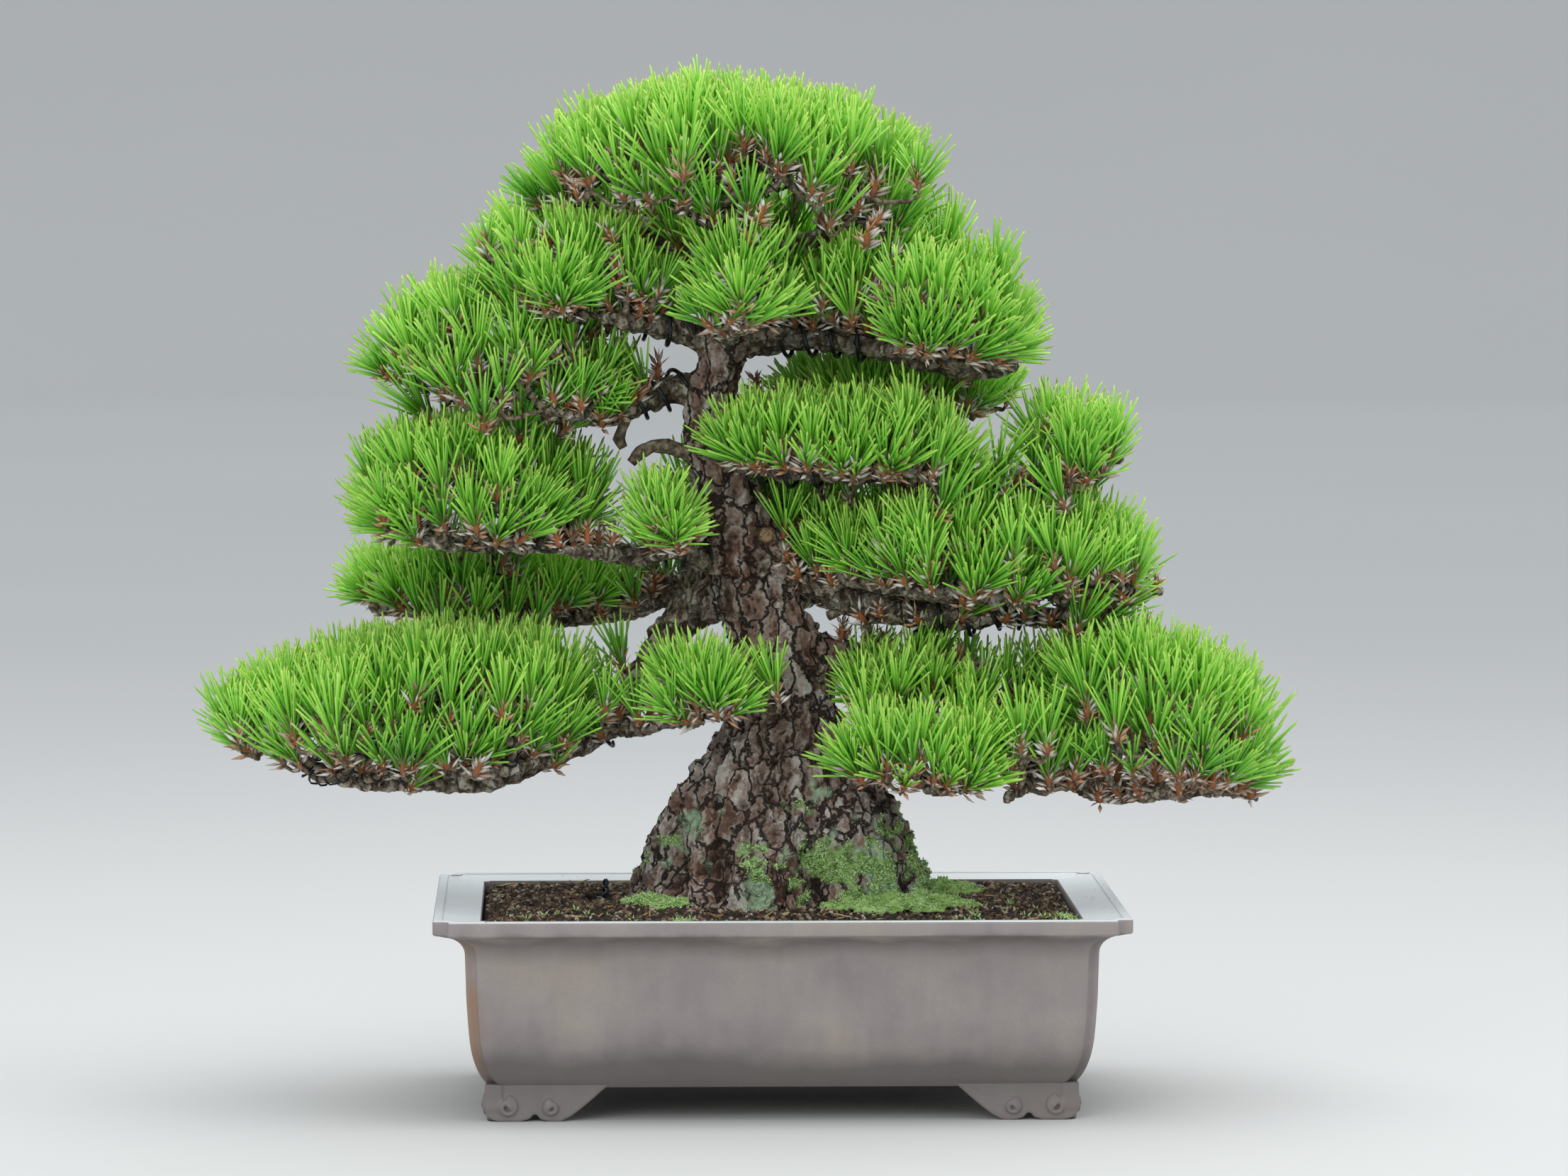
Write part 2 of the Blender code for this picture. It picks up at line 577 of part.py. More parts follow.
def make_pot(parts, tools, clay):
    profile = pot_profile()
    # the first ring closes the floor inside, and the last the underside
    shell = loft("pot", [pot_section(*section) for section in profile], parts, clay)
    holes = []
    floor_middle = FOOT_HEIGHT + FLOOR_THICKNESS / 2
    for side in (-1, 1):
        holes.append(cylinder("cutter_drain", DRAIN_RADIUS, FLOOR_THICKNESS * 3,
                              (side * DRAIN_OFFSET, 0, floor_middle), tools))
        for end in (-1, 1):
            spot = (side * WIRE_HOLE_OFFSET.x, end * WIRE_HOLE_OFFSET.y, floor_middle)
            holes.append(cylinder("cutter_wire_hole", WIRE_HOLE_RADIUS, FLOOR_THICKNESS * 3, spot, tools, 10))
    # EXACT leaves open edges where the feet meet the underside
    union(shell, *feet(tools), solver="MANIFOLD")
    cut(shell, *holes, solver="MANIFOLD")
    settle(shell)
    shell.data.set_sharp_from_angle(angle=math.radians(35))
    return shell


def fill_ring(z, shrink=0.0):
    """The pot's inside at a height, less the gap that its contents keep."""
    inset = inner_inset(z) + GAP + 0.2 * MM + shrink
    return notched_ring(RIM_WIDTH / 2 - inset, RIM_DEPTH / 2 - inset, WALL_NOTCH * 0.5, z)


def make_drainage(parts, tools, grit):
    low = FOOT_HEIGHT + FLOOR_THICKNESS + GAP
    rings = [fill_ring(low + DRAINAGE_DEPTH * share) for share in (0, 0.35, 1)]
    layer = loft("drainage_layer", rings, parts, grit)
    recess = SCREEN_THICKNESS + STAPLE_WIRE + 8 * GAP
    for side in (-1, 1):
        cut(layer, box("cutter_recess", (SCREEN_SIDE + 4 * GAP, SCREEN_SIDE + 4 * GAP, recess * 2),
                       (side * DRAIN_OFFSET, 0, low), tools))
    cut(layer, *tie_wire_channel(tools))
    return settle(layer)


def make_soil(parts, tools, earth):
    low = FOOT_HEIGHT + FLOOR_THICKNESS + DRAINAGE_DEPTH + 2 * GAP
    levels = [low, low + 6 * MM, low + 14 * MM, SOIL_LINE]
    rings = [fill_ring(z) for z in levels]
    rings.append(fill_ring(SOIL_LINE, 40 * MM))
    rings[-1] = [(x, y, SOIL_LINE + SOIL_MOUND * 0.45) for x, y, _ in rings[-1]]
    rings.append([(x * 0.62, y * 0.62, SOIL_LINE + SOIL_MOUND * 0.85) for x, y, _ in rings[-1]])
    soil = loft("soil", rings, parts, earth)
    cut(soil, trunk_body("cutter_root_room", tools, ROOT_GAP), *tie_wire_channel(tools))
    return settle(soil)


def make_screens(parts, tools, mesh_plastic, steel):
    low = FOOT_HEIGHT + FLOOR_THICKNESS + GAP
    top = low + SCREEN_THICKNESS
    for side, label in ((-1, "left"), (1, "right")):
        centre = Vector((side * DRAIN_OFFSET, 0, low + SCREEN_THICKNESS / 2))
        size = (SCREEN_SIDE, SCREEN_SIDE, SCREEN_THICKNESS)
        screen = box(f"drain_screen_{label}", size, centre, parts, mesh_plastic)
        for end in (-1, 1):
            cut(screen, cylinder("cutter_staple_hole", STAPLE_WIRE / 2 + 4 * GAP, 6 * MM,
                                 centre + Vector((0, end * STAPLE_SPAN / 2, 0)), tools, 8))
        settle(screen)
        turn = 1.2 * MM
        bar = top + STAPLE_WIRE / 2 + turn
        tail = FOOT_HEIGHT - 2 * GAP - STAPLE_WIRE / 2
        half = STAPLE_SPAN / 2
        route = [(half + STAPLE_TAIL, tail), (half + turn, tail), (half, tail + turn), (half, bar - turn),
                 (half - turn, bar), (-half + turn, bar), (-half, bar - turn), (-half, tail + turn),
                 (-half - turn, tail), (-half - STAPLE_TAIL, tail)]
        line = [(centre.x, y, z, STAPLE_WIRE / 2) for y, z in route]
        tube(f"screen_staple_{label}", line, parts, steel, 1)


def tie_wire_line(radius):
    """Up through one wire hole, twisted above the soil, and down through the other."""
    hole = WIRE_HOLE_OFFSET
    under = FOOT_HEIGHT - 2 * GAP - TIE_WIRE / 2
    twist_x, twist_y = -hole.x + 8 * MM, -14 * MM
    foot_of_twist = SOIL_LINE + SOIL_MOUND * 0.35 + 3 * MM
    turns, rise, reach = 1.5, 13 * MM, TIE_WIRE * 0.66

    def strand(phase):
        steps = 12
        for k in range(steps + 1):
            angle = phase + 2 * math.pi * turns * k / steps
            height = foot_of_twist + rise * k / steps
            yield (twist_x + reach * math.cos(angle), twist_y + reach * math.sin(angle), height)

    front_up = [(-hole.x, -hole.y + 0.5 * MM, under + 0.6 * MM), (-hole.x, -hole.y, under + 3 * MM),
                (-hole.x, -hole.y, SOIL_LINE - 10 * MM)]
    back_up = [(-hole.x, hole.y - 0.5 * MM, under + 0.6 * MM), (-hole.x, hole.y, under + 3 * MM),
               (-hole.x, hole.y, SOIL_LINE - 10 * MM),
               (-hole.x + 3 * MM, hole.y - 12 * MM, foot_of_twist - 2 * MM)]
    first = list(strand(-math.pi / 2))
    second = list(strand(math.pi / 2))
    route = list(reversed(first)) + list(reversed(front_up))
    route += [(-hole.x, -hole.y + 3 * MM, under), (-hole.x, hole.y - 3 * MM, under)]
    route += back_up + second
    return [(x, y, z, radius) for x, y, z in route]


def tie_wire_channel(tools):
    """Room for the two risers and the twist, as cutters."""
    hole = WIRE_HOLE_OFFSET
    radius = TIE_WIRE / 2 + 2 * GAP
    low = FOOT_HEIGHT + FLOOR_THICKNESS
    high = SOIL_LINE + SOIL_MOUND + 20 * MM
    twist_reach = TIE_WIRE * 2.4
    made = []
    for side in (-1, 1):
        made.append(cylinder("cutter_riser", radius + GAP, high - low + 20 * MM,
                             (-hole.x, side * hole.y, (low + high) / 2), tools, 10))
    slot = (hole.y * 2 + 4 * radius, high - SOIL_LINE + 22 * MM)
    made.append(box("cutter_twist_slot", (8 * MM + 2 * twist_reach, slot[0], slot[1]),
                    (-hole.x + 4 * MM, 0, SOIL_LINE - 11 * MM + slot[1] / 2), tools))
    return made


def place(x, y, z):
    """A point drawn in millimetres, at its real place on a tree of this size."""
    return (x * TREE_SPREAD * MM, y * TREE_DEPTH * MM, SOIL_LINE + (z - DRAWN_SOIL_LINE) * TREE_HEIGHT * MM)


def branch_line(name, spans, extra=0.0):
    line = []
    for x, y, z, radius in smooth_line(BRANCHES[name], spans):
        line.append((*place(x, y, z), radius * GIRTH * MM + extra))
    return line


def angle_apart(one, two):
    return abs((one - two + 180) % 360 - 180)


def trunk_body(name, collection, extra=0.0, sides=24):
    """The trunk with its root flare as a loft of lobed rings."""
    rings = []
    for z, cx, cy, half_x, half_y in TRUNK_LEVELS:
        flare = min(1.0, max(0.0, (262 - z) / 110))
        ring = []
        for k in range(sides):
            degrees = 360 * k / sides
            swell = 1.0
            for centre, spread, strength in ROOTS:
                swell += flare * strength * math.exp(-(angle_apart(degrees, centre) / spread) ** 2)
            swell -= 0.07 * flare
            swell -= flare * CREASE[2] * math.exp(-(angle_apart(degrees, CREASE[0]) / CREASE[1]) ** 2)
            turn = math.radians(degrees)
            x, y, height = place(cx, cy, z)
            ring.append((
                x + (half_x * GIRTH * swell * MM + extra) * math.cos(turn),
                y + (half_y * GIRTH * swell * MM + extra) * math.sin(turn),
                height,
            ))
        rings.append(ring)
    if extra:
        rings[0] = [(x, y, z - extra) for x, y, z in rings[0]]
        rings[-1] = [(x, y, z + extra) for x, y, z in rings[-1]]
    return loft(name, rings, collection)


def make_wood(name, collection, triangles, material):
    """Trunk and branches grown into one skin."""
    pieces = [trunk_body(name + "_trunk", collection)]
    for branch in BRANCHES:
        stem = tube(f"{name}_{branch}", branch_line(branch, 3), collection, rounding=2)
        pieces.append(curve_to_mesh(stem, collection))
    bm = bmesh.new()
    for piece in pieces:
        bm.from_mesh(piece.data)
        bpy.data.objects.remove(piece)
    mesh = bpy.data.meshes.new(name)
    bm.to_mesh(mesh)
    bm.free()
    wood = new_object(name, mesh, collection, material)
    skin = wood.modifiers.new("skin", "REMESH")
    skin.mode = "VOXEL"
    skin.voxel_size = WOOD_VOXEL
    skin.adaptivity = 0.0
    settle(wood)
    thin = wood.modifiers.new("thin", "DECIMATE")
    thin.ratio = min(1.0, triangles / len(wood.data.polygons))
    thin.use_collapse_triangulate = True
    settle(wood)
    return wood


def bend(values, share):
    """A smooth value through left, middle and right ones, share running from -1 to 1."""
    left, middle, right = values
    return middle + (right - left) / 2 * share + ((right + left) / 2 - middle) * share * share


def cloud_body(name, collection, material=None, extra=0.0):
    """A foliage cloud: a ball squared up into a bun with a flatter underside."""
    (x0, x1), (y0, y1), under, top = CLOUDS[name]
    wobble = sum(ord(letter) for letter in name) % 7
    bm = bmesh.new()
    bmesh.ops.create_uvsphere(bm, u_segments=16, v_segments=8, radius=1.0)
    for vert in bm.verts:
        turn = math.atan2(vert.co.y, vert.co.x)
        reach = math.hypot(vert.co.x, vert.co.y) ** CLOUD_FULLNESS
        reach *= 1 - 0.035 * (1 + math.cos(5 * turn + wobble))
        share_x, share_y = reach * math.cos(turn), reach * math.sin(turn)
        lower, upper = bend(under, share_x), bend(top, share_x)
        middle = lower + (upper - lower) * CLOUD_WAIST
        if vert.co.z > 0:
            height = middle + (upper - middle) * vert.co.z ** 0.85
        else:
            height = middle - (middle - lower) * abs(vert.co.z) ** 0.7
        across = (x0 + x1) / 2 + (x1 - x0) / 2 * share_x
        back = (y0 + y1) / 2 + (y1 - y0) / 2 * share_y
        vert.co = Vector(place(across, back, height)) + vert.co * extra
    mesh = bpy.data.meshes.new(name)
    bm.to_mesh(mesh)
    bm.free()
    return new_object(name, mesh, collection, material)


def apart(one, two):
    """Whether two objects' boxes are clear of each other."""
    def bounds(obj):
        corners = [obj.matrix_world @ vert.co for vert in obj.data.vertices]
        return [(min(c[k] for c in corners), max(c[k] for c in corners)) for k in range(3)]

    return any(a[1] < b[0] or b[1] < a[0] for a, b in zip(bounds(one), bounds(two)))


def branch_room(branch, tools):
    """A branch and the wire wound on it, thicker by the gap that foliage keeps."""
    line = branch_line(branch, 1, FOLIAGE_GAP)
    tip, before = Vector(line[-1][:3]), Vector(line[-2][:3])
    line.append((*(tip + (tip - before).normalized() * FOLIAGE_GAP), line[-1][3] * 0.8))
    wired = [(start, end) for followed, start, end in WIRES.values() if followed == branch]
    for start, end in wired:
        near = range(round((start - 0.08) * len(line)), round((end + 0.08) * len(line)) + 1)
        line = [(x, y, z, r + 4 * MM if k in near else r) for k, (x, y, z, r) in enumerate(line)]
    return hide(curve_to_mesh(tube(f"room_{branch}", line, tools, rounding=1), tools))


def make_clouds(parts, tools, needles):
    """Each cloud gives way to the wood and to the clouds before it."""
    rooms = [hide(trunk_body("room_trunk", tools, FOLIAGE_GAP, 12))]
    rooms += [branch_room(branch, tools) for branch in BRANCHES]
    before = []
    for name in CLOUDS:
        cloud = cloud_body(name, parts, needles)
        cloud.name = f"foliage_{name}"
        cut(cloud, *(other for other in before + rooms if not apart(cloud, other)))
        settle(cloud)
        before.append(hide(cloud_body(name, tools, extra=4 * GAP)))


def line_at(line, share):
    """The point a share of the way along a line of (x, y, z, radius) points, with its direction."""
    lengths = [0.0]
    for one, two in zip(line, line[1:]):
        lengths.append(lengths[-1] + (Vector(two[:3]) - Vector(one[:3])).length)
    wanted = share * lengths[-1]
    k = next((i for i in range(1, len(lengths)) if lengths[i] >= wanted), len(lengths) - 1)
    t = (wanted - lengths[k - 1]) / (lengths[k] - lengths[k - 1])
    one, two = line[k - 1], line[k]
    point = Vector(one[:3]).lerp(Vector(two[:3]), t)
    before = Vector(line[max(0, k - 2)][:3])
    after = Vector(line[min(len(line) - 1, k + 1)][:3])
    return point, one[3] + (two[3] - one[3]) * t, (after - before).normalized(), lengths[-1]


def longest_clear_run(route, bark):
    """The longest stretch of the wire's route that doesn't run into another branch."""
    def clear(point):
        nearest, facing, _, distance = bark.find_nearest(point)
        return distance > TRAINING_WIRE / 2 + 2 * GAP and (point - nearest).dot(facing) > 0

    best, run = [], []
    for point in route:
        if clear(point) and (not run or clear((point + run[-1]) / 2)):
            run.append(point)
        else:
            run = []
        if len(run) > len(best):
            best = list(run)
    return best


def make_wires(parts, copper, wood):
    """Each training wire winds round its branch, just clear of the bark."""
    faces = [list(face.vertices) for face in wood.data.polygons]
    bark = BVHTree.FromPolygons([vert.co for vert in wood.data.vertices], faces)
    steps = 7
    for name, (branch, start, end) in WIRES.items():
        line = branch_line(branch, 6)
        length = line_at(line, 0)[3] * (end - start)
        turns = length / WIRE_PITCH
        count = round(turns * steps)
        side = Vector((0, -1, 0))
        route = []
        for k in range(count + 1):
            point, radius, along, _ = line_at(line, start + (end - start) * k / count)
            side = (side - along * side.dot(along)).normalized()
            angle = 2 * math.pi * turns * k / count
            out = side * math.cos(angle) + along.cross(side) * math.sin(angle)
            hit = bark.ray_cast(point + out * (radius + 12 * MM), -out)[0]
            reach = max(radius, (hit - point).length if hit else 0) + TRAINING_WIRE / 2 + WIRE_CLEARANCE
            # the chords between points come nearer to the bark than the points
            route.append(point + out * reach / math.cos(math.pi / steps))
        route = longest_clear_run(route, bark)
        tube(name, [(*point, TRAINING_WIRE / 2) for point in route], parts, copper)


def make_moss(parts, tools, moss, soil):
    trunk_room = trunk_body("cutter_moss_trunk", tools, ROOT_GAP + GAP)
    under = soil.copy()
    under.data = soil.data.copy()
    under.name = "cutter_moss_soil"
    under.location.z += GAP
    parts_of_tools = tools.objects
    parts_of_tools.link(under)
    for name, (x, y, half_x, half_y, height) in MOSS.items():
        bm = bmesh.new()
        bmesh.ops.create_uvsphere(bm, u_segments=14, v_segments=8, radius=1.0)
        bmesh.ops.scale(bm, vec=Vector((half_x, half_y, height)) * MM, verts=bm.verts)
        mesh = bpy.data.meshes.new(name)
        bm.to_mesh(mesh)
        bm.free()
        patch = new_object(name, mesh, parts, moss)
        patch.location = (x * MM, y * MM, SOIL_LINE + SOIL_MOUND * 0.5)
        cut(patch, under, trunk_room)
        flatten_place(settle(patch))


def centre_on_origin(collection):
    """Moves everything so that the origin is the bottom centre of the whole object's box."""
    bpy.context.view_layer.update()
    graph = bpy.context.evaluated_depsgraph_get()
    corners = []
    for obj in collection.objects:
        evaluated = obj.evaluated_get(graph)
        mesh = evaluated.to_mesh()
        corners += [evaluated.matrix_world @ vert.co for vert in mesh.vertices]
        evaluated.to_mesh_clear()
    low = Vector([min(c[k] for c in corners) for k in range(3)])
    high = Vector([max(c[k] for c in corners) for k in range(3)])
    shift = Vector(((low.x + high.x) / 2, (low.y + high.y) / 2, low.z))
    for obj in collection.objects:
        obj.location -= shift


def main():
    clear_scene()
    parts = new_collection("bonsai")
    tools = new_collection("cutters")
    clay = new_material("stoneware", (0.27, 0.24, 0.23), 0.55)
    bark = new_material("pine_bark", (0.13, 0.10, 0.08), 0.9)
    needles = new_material("pine_needles", (0.15, 0.42, 0.05), 0.5)
    earth = new_material("potting_soil", (0.09, 0.06, 0.04), 0.95)
    grit = new_material("pumice_grit", (0.55, 0.48, 0.38), 0.95)
    moss = new_material("moss", (0.10, 0.22, 0.05), 0.95)
    copper = new_material("annealed_wire", (0.06, 0.055, 0.06), 0.4, 0.8)
    steel = new_material("screen_wire", (0.45, 0.45, 0.45), 0.4, 0.9)
    plastic = new_material("screen_plastic", (0.03, 0.03, 0.03), 0.6)

    make_pot(parts, tools, clay)
    make_drainage(parts, tools, grit)
    soil = make_soil(parts, tools, earth)
    make_screens(parts, tools, plastic, steel)
    tube("tie_wire", tie_wire_line(TIE_WIRE / 2), parts, steel, 1)
    wood = make_wood("trunk_and_branches", parts, WOOD_TRIANGLES, bark)
    make_clouds(parts, tools, needles)
    make_wires(parts, copper, wood)
    make_moss(parts, tools, moss, soil)
    centre_on_origin(parts)


main()
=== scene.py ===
import math

import bmesh
import bpy
import numpy as np
from mathutils import Matrix, Quaternion, Vector, noise
from mathutils.bvhtree import BVHTree
from mathutils.kdtree import KDTree


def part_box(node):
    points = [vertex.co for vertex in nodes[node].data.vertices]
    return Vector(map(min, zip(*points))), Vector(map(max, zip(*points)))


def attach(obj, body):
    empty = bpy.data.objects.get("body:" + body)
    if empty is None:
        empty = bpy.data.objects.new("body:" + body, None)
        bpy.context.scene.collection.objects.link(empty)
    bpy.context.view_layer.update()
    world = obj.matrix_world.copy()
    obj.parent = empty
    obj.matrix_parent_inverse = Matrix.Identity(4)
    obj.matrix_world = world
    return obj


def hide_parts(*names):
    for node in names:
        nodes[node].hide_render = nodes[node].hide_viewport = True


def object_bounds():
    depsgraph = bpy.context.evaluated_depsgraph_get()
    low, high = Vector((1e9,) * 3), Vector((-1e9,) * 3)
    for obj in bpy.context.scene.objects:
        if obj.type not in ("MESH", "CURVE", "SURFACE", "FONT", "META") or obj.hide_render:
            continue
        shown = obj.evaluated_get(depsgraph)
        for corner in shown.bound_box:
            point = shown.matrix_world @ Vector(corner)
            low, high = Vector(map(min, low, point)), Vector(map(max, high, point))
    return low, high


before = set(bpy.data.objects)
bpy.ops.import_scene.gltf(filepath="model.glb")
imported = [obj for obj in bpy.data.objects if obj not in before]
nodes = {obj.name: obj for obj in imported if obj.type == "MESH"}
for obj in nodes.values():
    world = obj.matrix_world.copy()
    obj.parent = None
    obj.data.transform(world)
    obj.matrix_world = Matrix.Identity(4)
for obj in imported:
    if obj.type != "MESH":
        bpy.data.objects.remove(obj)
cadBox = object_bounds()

mm = 0.001
noise.seed_set(7)  # noise_vector starts from the clock otherwise
potLow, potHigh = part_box("pot")
middle = Vector(((potLow.x + potHigh.x) / 2, (potLow.y + potHigh.y) / 2, 0))  # under the trunk


def stage(text):
    print("scene:", text, flush=True)


def linear(code):  # sRGB hex to linear light
    shares = [int(code[i:i + 2], 16) / 255 for i in (0, 2, 4)]
    return tuple(v / 12.92 if v <= 0.04045 else ((v + 0.055) / 1.055) ** 2.4 for v in shares) + (1.0,)


def plug(node, inputs):  # each value is a socket to link, or a value to set
    for key, value in inputs.items():
        if isinstance(value, bpy.types.NodeSocket):
            node.id_data.links.new(value, node.inputs[key])
        else:
            node.inputs[key].default_value = value


def addNode(tree, kind, inputs=None, **settings):
    node = tree.nodes.new(kind)
    for name, value in settings.items():
        setattr(node, name, value)
    plug(node, inputs or {})
    return node


def weighted(tree, total, *terms):  # adds share times value for each term
    for share, value in terms:
        total = addNode(tree, "ShaderNodeMath", {0: value, 1: share, 2: total}, operation="MULTIPLY_ADD").outputs[0]
    return total


def product(tree, first, *others):
    for other in others:
        first = addNode(tree, "ShaderNodeMath", {0: first, 1: other}, operation="MULTIPLY").outputs[0]
    return first


def layered(tree, colour, *layers, blend="MIX"):  # each (share, colour) goes over what is there
    for share, over in layers:
        over = linear(over) if isinstance(over, str) else over
        colour = addNode(tree, "ShaderNodeMix", {0: share, 6: colour, 7: over}, data_type="RGBA",
                         blend_type=blend).outputs[2]
    return colour


def fillRamp(node, stops):  # stops are (place, hex) or (place, grey)
    ramp = node.color_ramp
    while len(ramp.elements) < len(stops):
        ramp.elements.new(0.5)
    for element, (place, tone) in zip(ramp.elements, stops):
        element.position = place
        element.color = linear(tone) if isinstance(tone, str) else (tone, tone, tone, 1)
    return node.outputs["Color"]


def newMaterial(name, **constants):  # constants sit on the shader's own sockets
    material = bpy.data.materials.new(name)
    material.use_nodes = True
    shader = material.node_tree.nodes["Principled BSDF"]
    plug(shader, {key.replace("_", " "): value for key, value in constants.items()})
    return material, material.node_tree, shader


def newObject(name, mesh, material=None):
    obj = bpy.data.objects.new(name, mesh)
    bpy.context.scene.collection.objects.link(obj)
    if material:
        dress(mesh, material)
    return obj


def dress(mesh, material):  # in this material alone
    mesh.materials.clear()
    mesh.materials.append(material)


def meshOf(name, points, faces, smooth=True):
    mesh = bpy.data.meshes.new(name)
    mesh.from_pydata([tuple(p) for p in points], [], faces)
    mesh.shade_smooth() if smooth else mesh.shade_flat()
    mesh.update()
    return mesh


def meshFrom(name, bm):
    mesh = bpy.data.meshes.new(name)
    bm.to_mesh(mesh)
    bm.free()
    return mesh


def mergedCopy(name, node):  # a CAD node's mesh is loose triangles
    bm = bmesh.new()
    bm.from_mesh(nodes[node].data)
    bmesh.ops.remove_doubles(bm, verts=bm.verts, dist=1e-6)
    mesh = meshFrom(name, bm)
    mesh.shade_smooth()
    return newObject(name, mesh)


def settle(obj):  # applies the modifiers
    bpy.context.view_layer.update()
    graph = bpy.context.evaluated_depsgraph_get()
    old = obj.data
    obj.data = bpy.data.meshes.new_from_object(obj.evaluated_get(graph))
    obj.modifiers.clear()
    bpy.data.meshes.remove(old)
    return obj


def remeshed(obj, voxel, smoothing=0):
    modifier = obj.modifiers.new("remesh", "REMESH")
    modifier.mode = "VOXEL"
    modifier.voxel_size = voxel
    modifier.use_smooth_shade = True
    if smoothing:
        smooth = obj.modifiers.new("smooth", "SMOOTH")
        smooth.iterations = smoothing
        smooth.factor = 0.5
    return settle(obj)


def thinned(obj, most):  # to about this many triangles
    thin = obj.modifiers.new("thin", "DECIMATE")
    thin.ratio = min(1.0, most / (2 * len(obj.data.polygons)))
    thin.use_collapse_triangulate = True
    settle(obj).data.shade_smooth()
    return obj


def pointsOf(mesh):
    values = np.empty(len(mesh.vertices) * 3)
    mesh.vertices.foreach_get("co", values)
    return values.reshape(-1, 3)


def normalsOf(mesh):
    values = np.empty(len(mesh.vertices) * 3)
    mesh.vertex_normals.foreach_get("vector", values)
    return values.reshape(-1, 3)


def moveTo(mesh, points):
    mesh.vertices.foreach_set("co", points.ravel())


def store(mesh, name, values, kind="FLOAT"):
    values = np.asarray(values, np.float32)
    attribute = mesh.attributes.get(name) or mesh.attributes.new(name, kind, "POINT")
    attribute.data.foreach_set("vector" if kind == "FLOAT_VECTOR" else "value", values.ravel())


def stored(mesh, name):
    values = np.empty(len(mesh.vertices), np.float32)
    mesh.attributes[name].data.foreach_get("value", values)
    return values


def ride(obj, slot, *replaced):
    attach(obj, "root")
    if replaced:
        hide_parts(*replaced)
    return obj


def ramped(low, high, value):  # a smooth step from 0 at low to 1 at high
    share = np.clip((np.asarray(value, float) - low) / (high - low), 0, 1)
    return share * share * (3 - 2 * share)


def bands(rings, sides):  # the faces between rings of points
    return [(k * sides + s, k * sides + (s + 1) % sides, (k + 1) * sides + (s + 1) % sides, (k + 1) * sides + s)
            for k in range(rings - 1) for s in range(sides)]


def tubes(name, paths, sides, attribute=None):
    # paths are lists of (point, radius, value); each is closed at both ends
    points, faces, values = [], [], []
    for path in paths:
        start = len(points)
        lead = None
        for k, (point, radius, value) in enumerate(path):
            before = path[max(k - 1, 0)][0]
            after = path[min(k + 1, len(path) - 1)][0]
            along = (after - before).normalized()
            if lead is None:
                lead = along.orthogonal().normalized()
            lead = (lead - along * lead.dot(along)).normalized()
            side = along.cross(lead)
            for s in range(sides):
                angle = 2 * math.pi * s / sides
                points.append(point + (lead * math.cos(angle) + side * math.sin(angle)) * radius)
                values.append(value)
        last = len(points) - sides
        faces += [tuple(start + i for i in face) for face in bands(len(path), sides)]
        faces += [tuple(start + s for s in reversed(range(sides))), tuple(last + s for s in range(sides))]
    mesh = meshOf(name, points, faces)
    if attribute:
        store(mesh, attribute, values)
    return mesh


# ---- camera, light and floor

camera = bpy.data.objects.new("camera", bpy.data.cameras.new("camera"))
bpy.context.scene.collection.objects.link(camera)
camera.data.lens = 170
camera.data.sensor_width = 36
camera.data.clip_end = 100
camera.location = middle + Vector((-0.1446, -4.871, 0.652))
camera.rotation_euler = (math.radians(90 - 3.70), 0, math.radians(-1.758))
bpy.context.scene.camera = camera
bpy.context.scene.view_settings.view_transform = "Standard"

studio = {
    "sky": "e4ebf2", "skyStrength": 0.86,
    "overhead": (0.2, 0.1, 2.6, 2.6, 44),      # x, y, z, side in metres, watts
    "front": (-1.4, -3.0, 1.5, 1.8, 24),
    "right": (2.4, -0.6, 1.6, 1.6, 8),
    "floor": "d3d2cf",
}


def softLight(name, x, y, z, side, watts):
    light = bpy.data.objects.new(name, bpy.data.lights.new(name, "AREA"))
    light.data.size = side
    light.data.energy = watts
    light.location = middle + Vector((x, y, z))
    aim = middle + Vector((0, 0, 0.3)) - light.location
    light.rotation_euler = aim.to_track_quat("-Z", "Y").to_euler()
    bpy.context.scene.collection.objects.link(light)


for name in ("overhead", "front", "right"):
    softLight(name + "_light", *studio[name])

world = bpy.data.worlds.new("soft_sky")
bpy.context.scene.world = world
world.use_nodes = True
world.node_tree.nodes["Background"].inputs["Color"].default_value = linear(studio["sky"])
world.node_tree.nodes["Background"].inputs["Strength"].default_value = studio["skyStrength"]


def makeFloor():  # a round sheet, flat for 12 m and then sweeping up on every side
    flat, sweep, sides = 12, 1.7, 64
    profile = [(0.5, 0), (3, 0), (flat, 0)]
    profile += [(flat + sweep * math.sin(a), sweep - sweep * math.cos(a)) for a in np.linspace(0, math.pi / 2, 17)[1:]]
    points = [(r * math.cos(2 * math.pi * k / sides), r * math.sin(2 * math.pi * k / sides), z)
              for r, z in profile for k in range(sides)]
    faces = [tuple(range(sides))] + [(a, d, c, b) for a, b, c, d in bands(len(profile), sides)]
    material, tree, shader = newMaterial("matt_painted_floor", Roughness=0.85)
    texture = addNode(tree, "ShaderNodeTexCoord")
    cloudy = addNode(tree, "ShaderNodeTexNoise", {"Vector": texture.outputs["Object"], "Scale": 0.8})
    tone = fillRamp(addNode(tree, "ShaderNodeValToRGB", {"Fac": cloudy.outputs["Fac"]}),
                    [(0.3, studio["floor"]), (0.7, "d5d4d1")])
    plug(shader, {"Base Color": tone})
    newObject("floor", meshOf("floor", points, faces), material)


makeFloor()
stage("camera, lights and floor")

# ---- finishes

def surface(tree, shader, colour, height, strength, depth):  # colour, and a height raised to a depth in metres
    bump = addNode(tree, "ShaderNodeBump", {"Height": height, "Strength": strength, "Distance": depth})
    plug(shader, {"Base Color": colour, "Normal": bump.outputs["Normal"]})


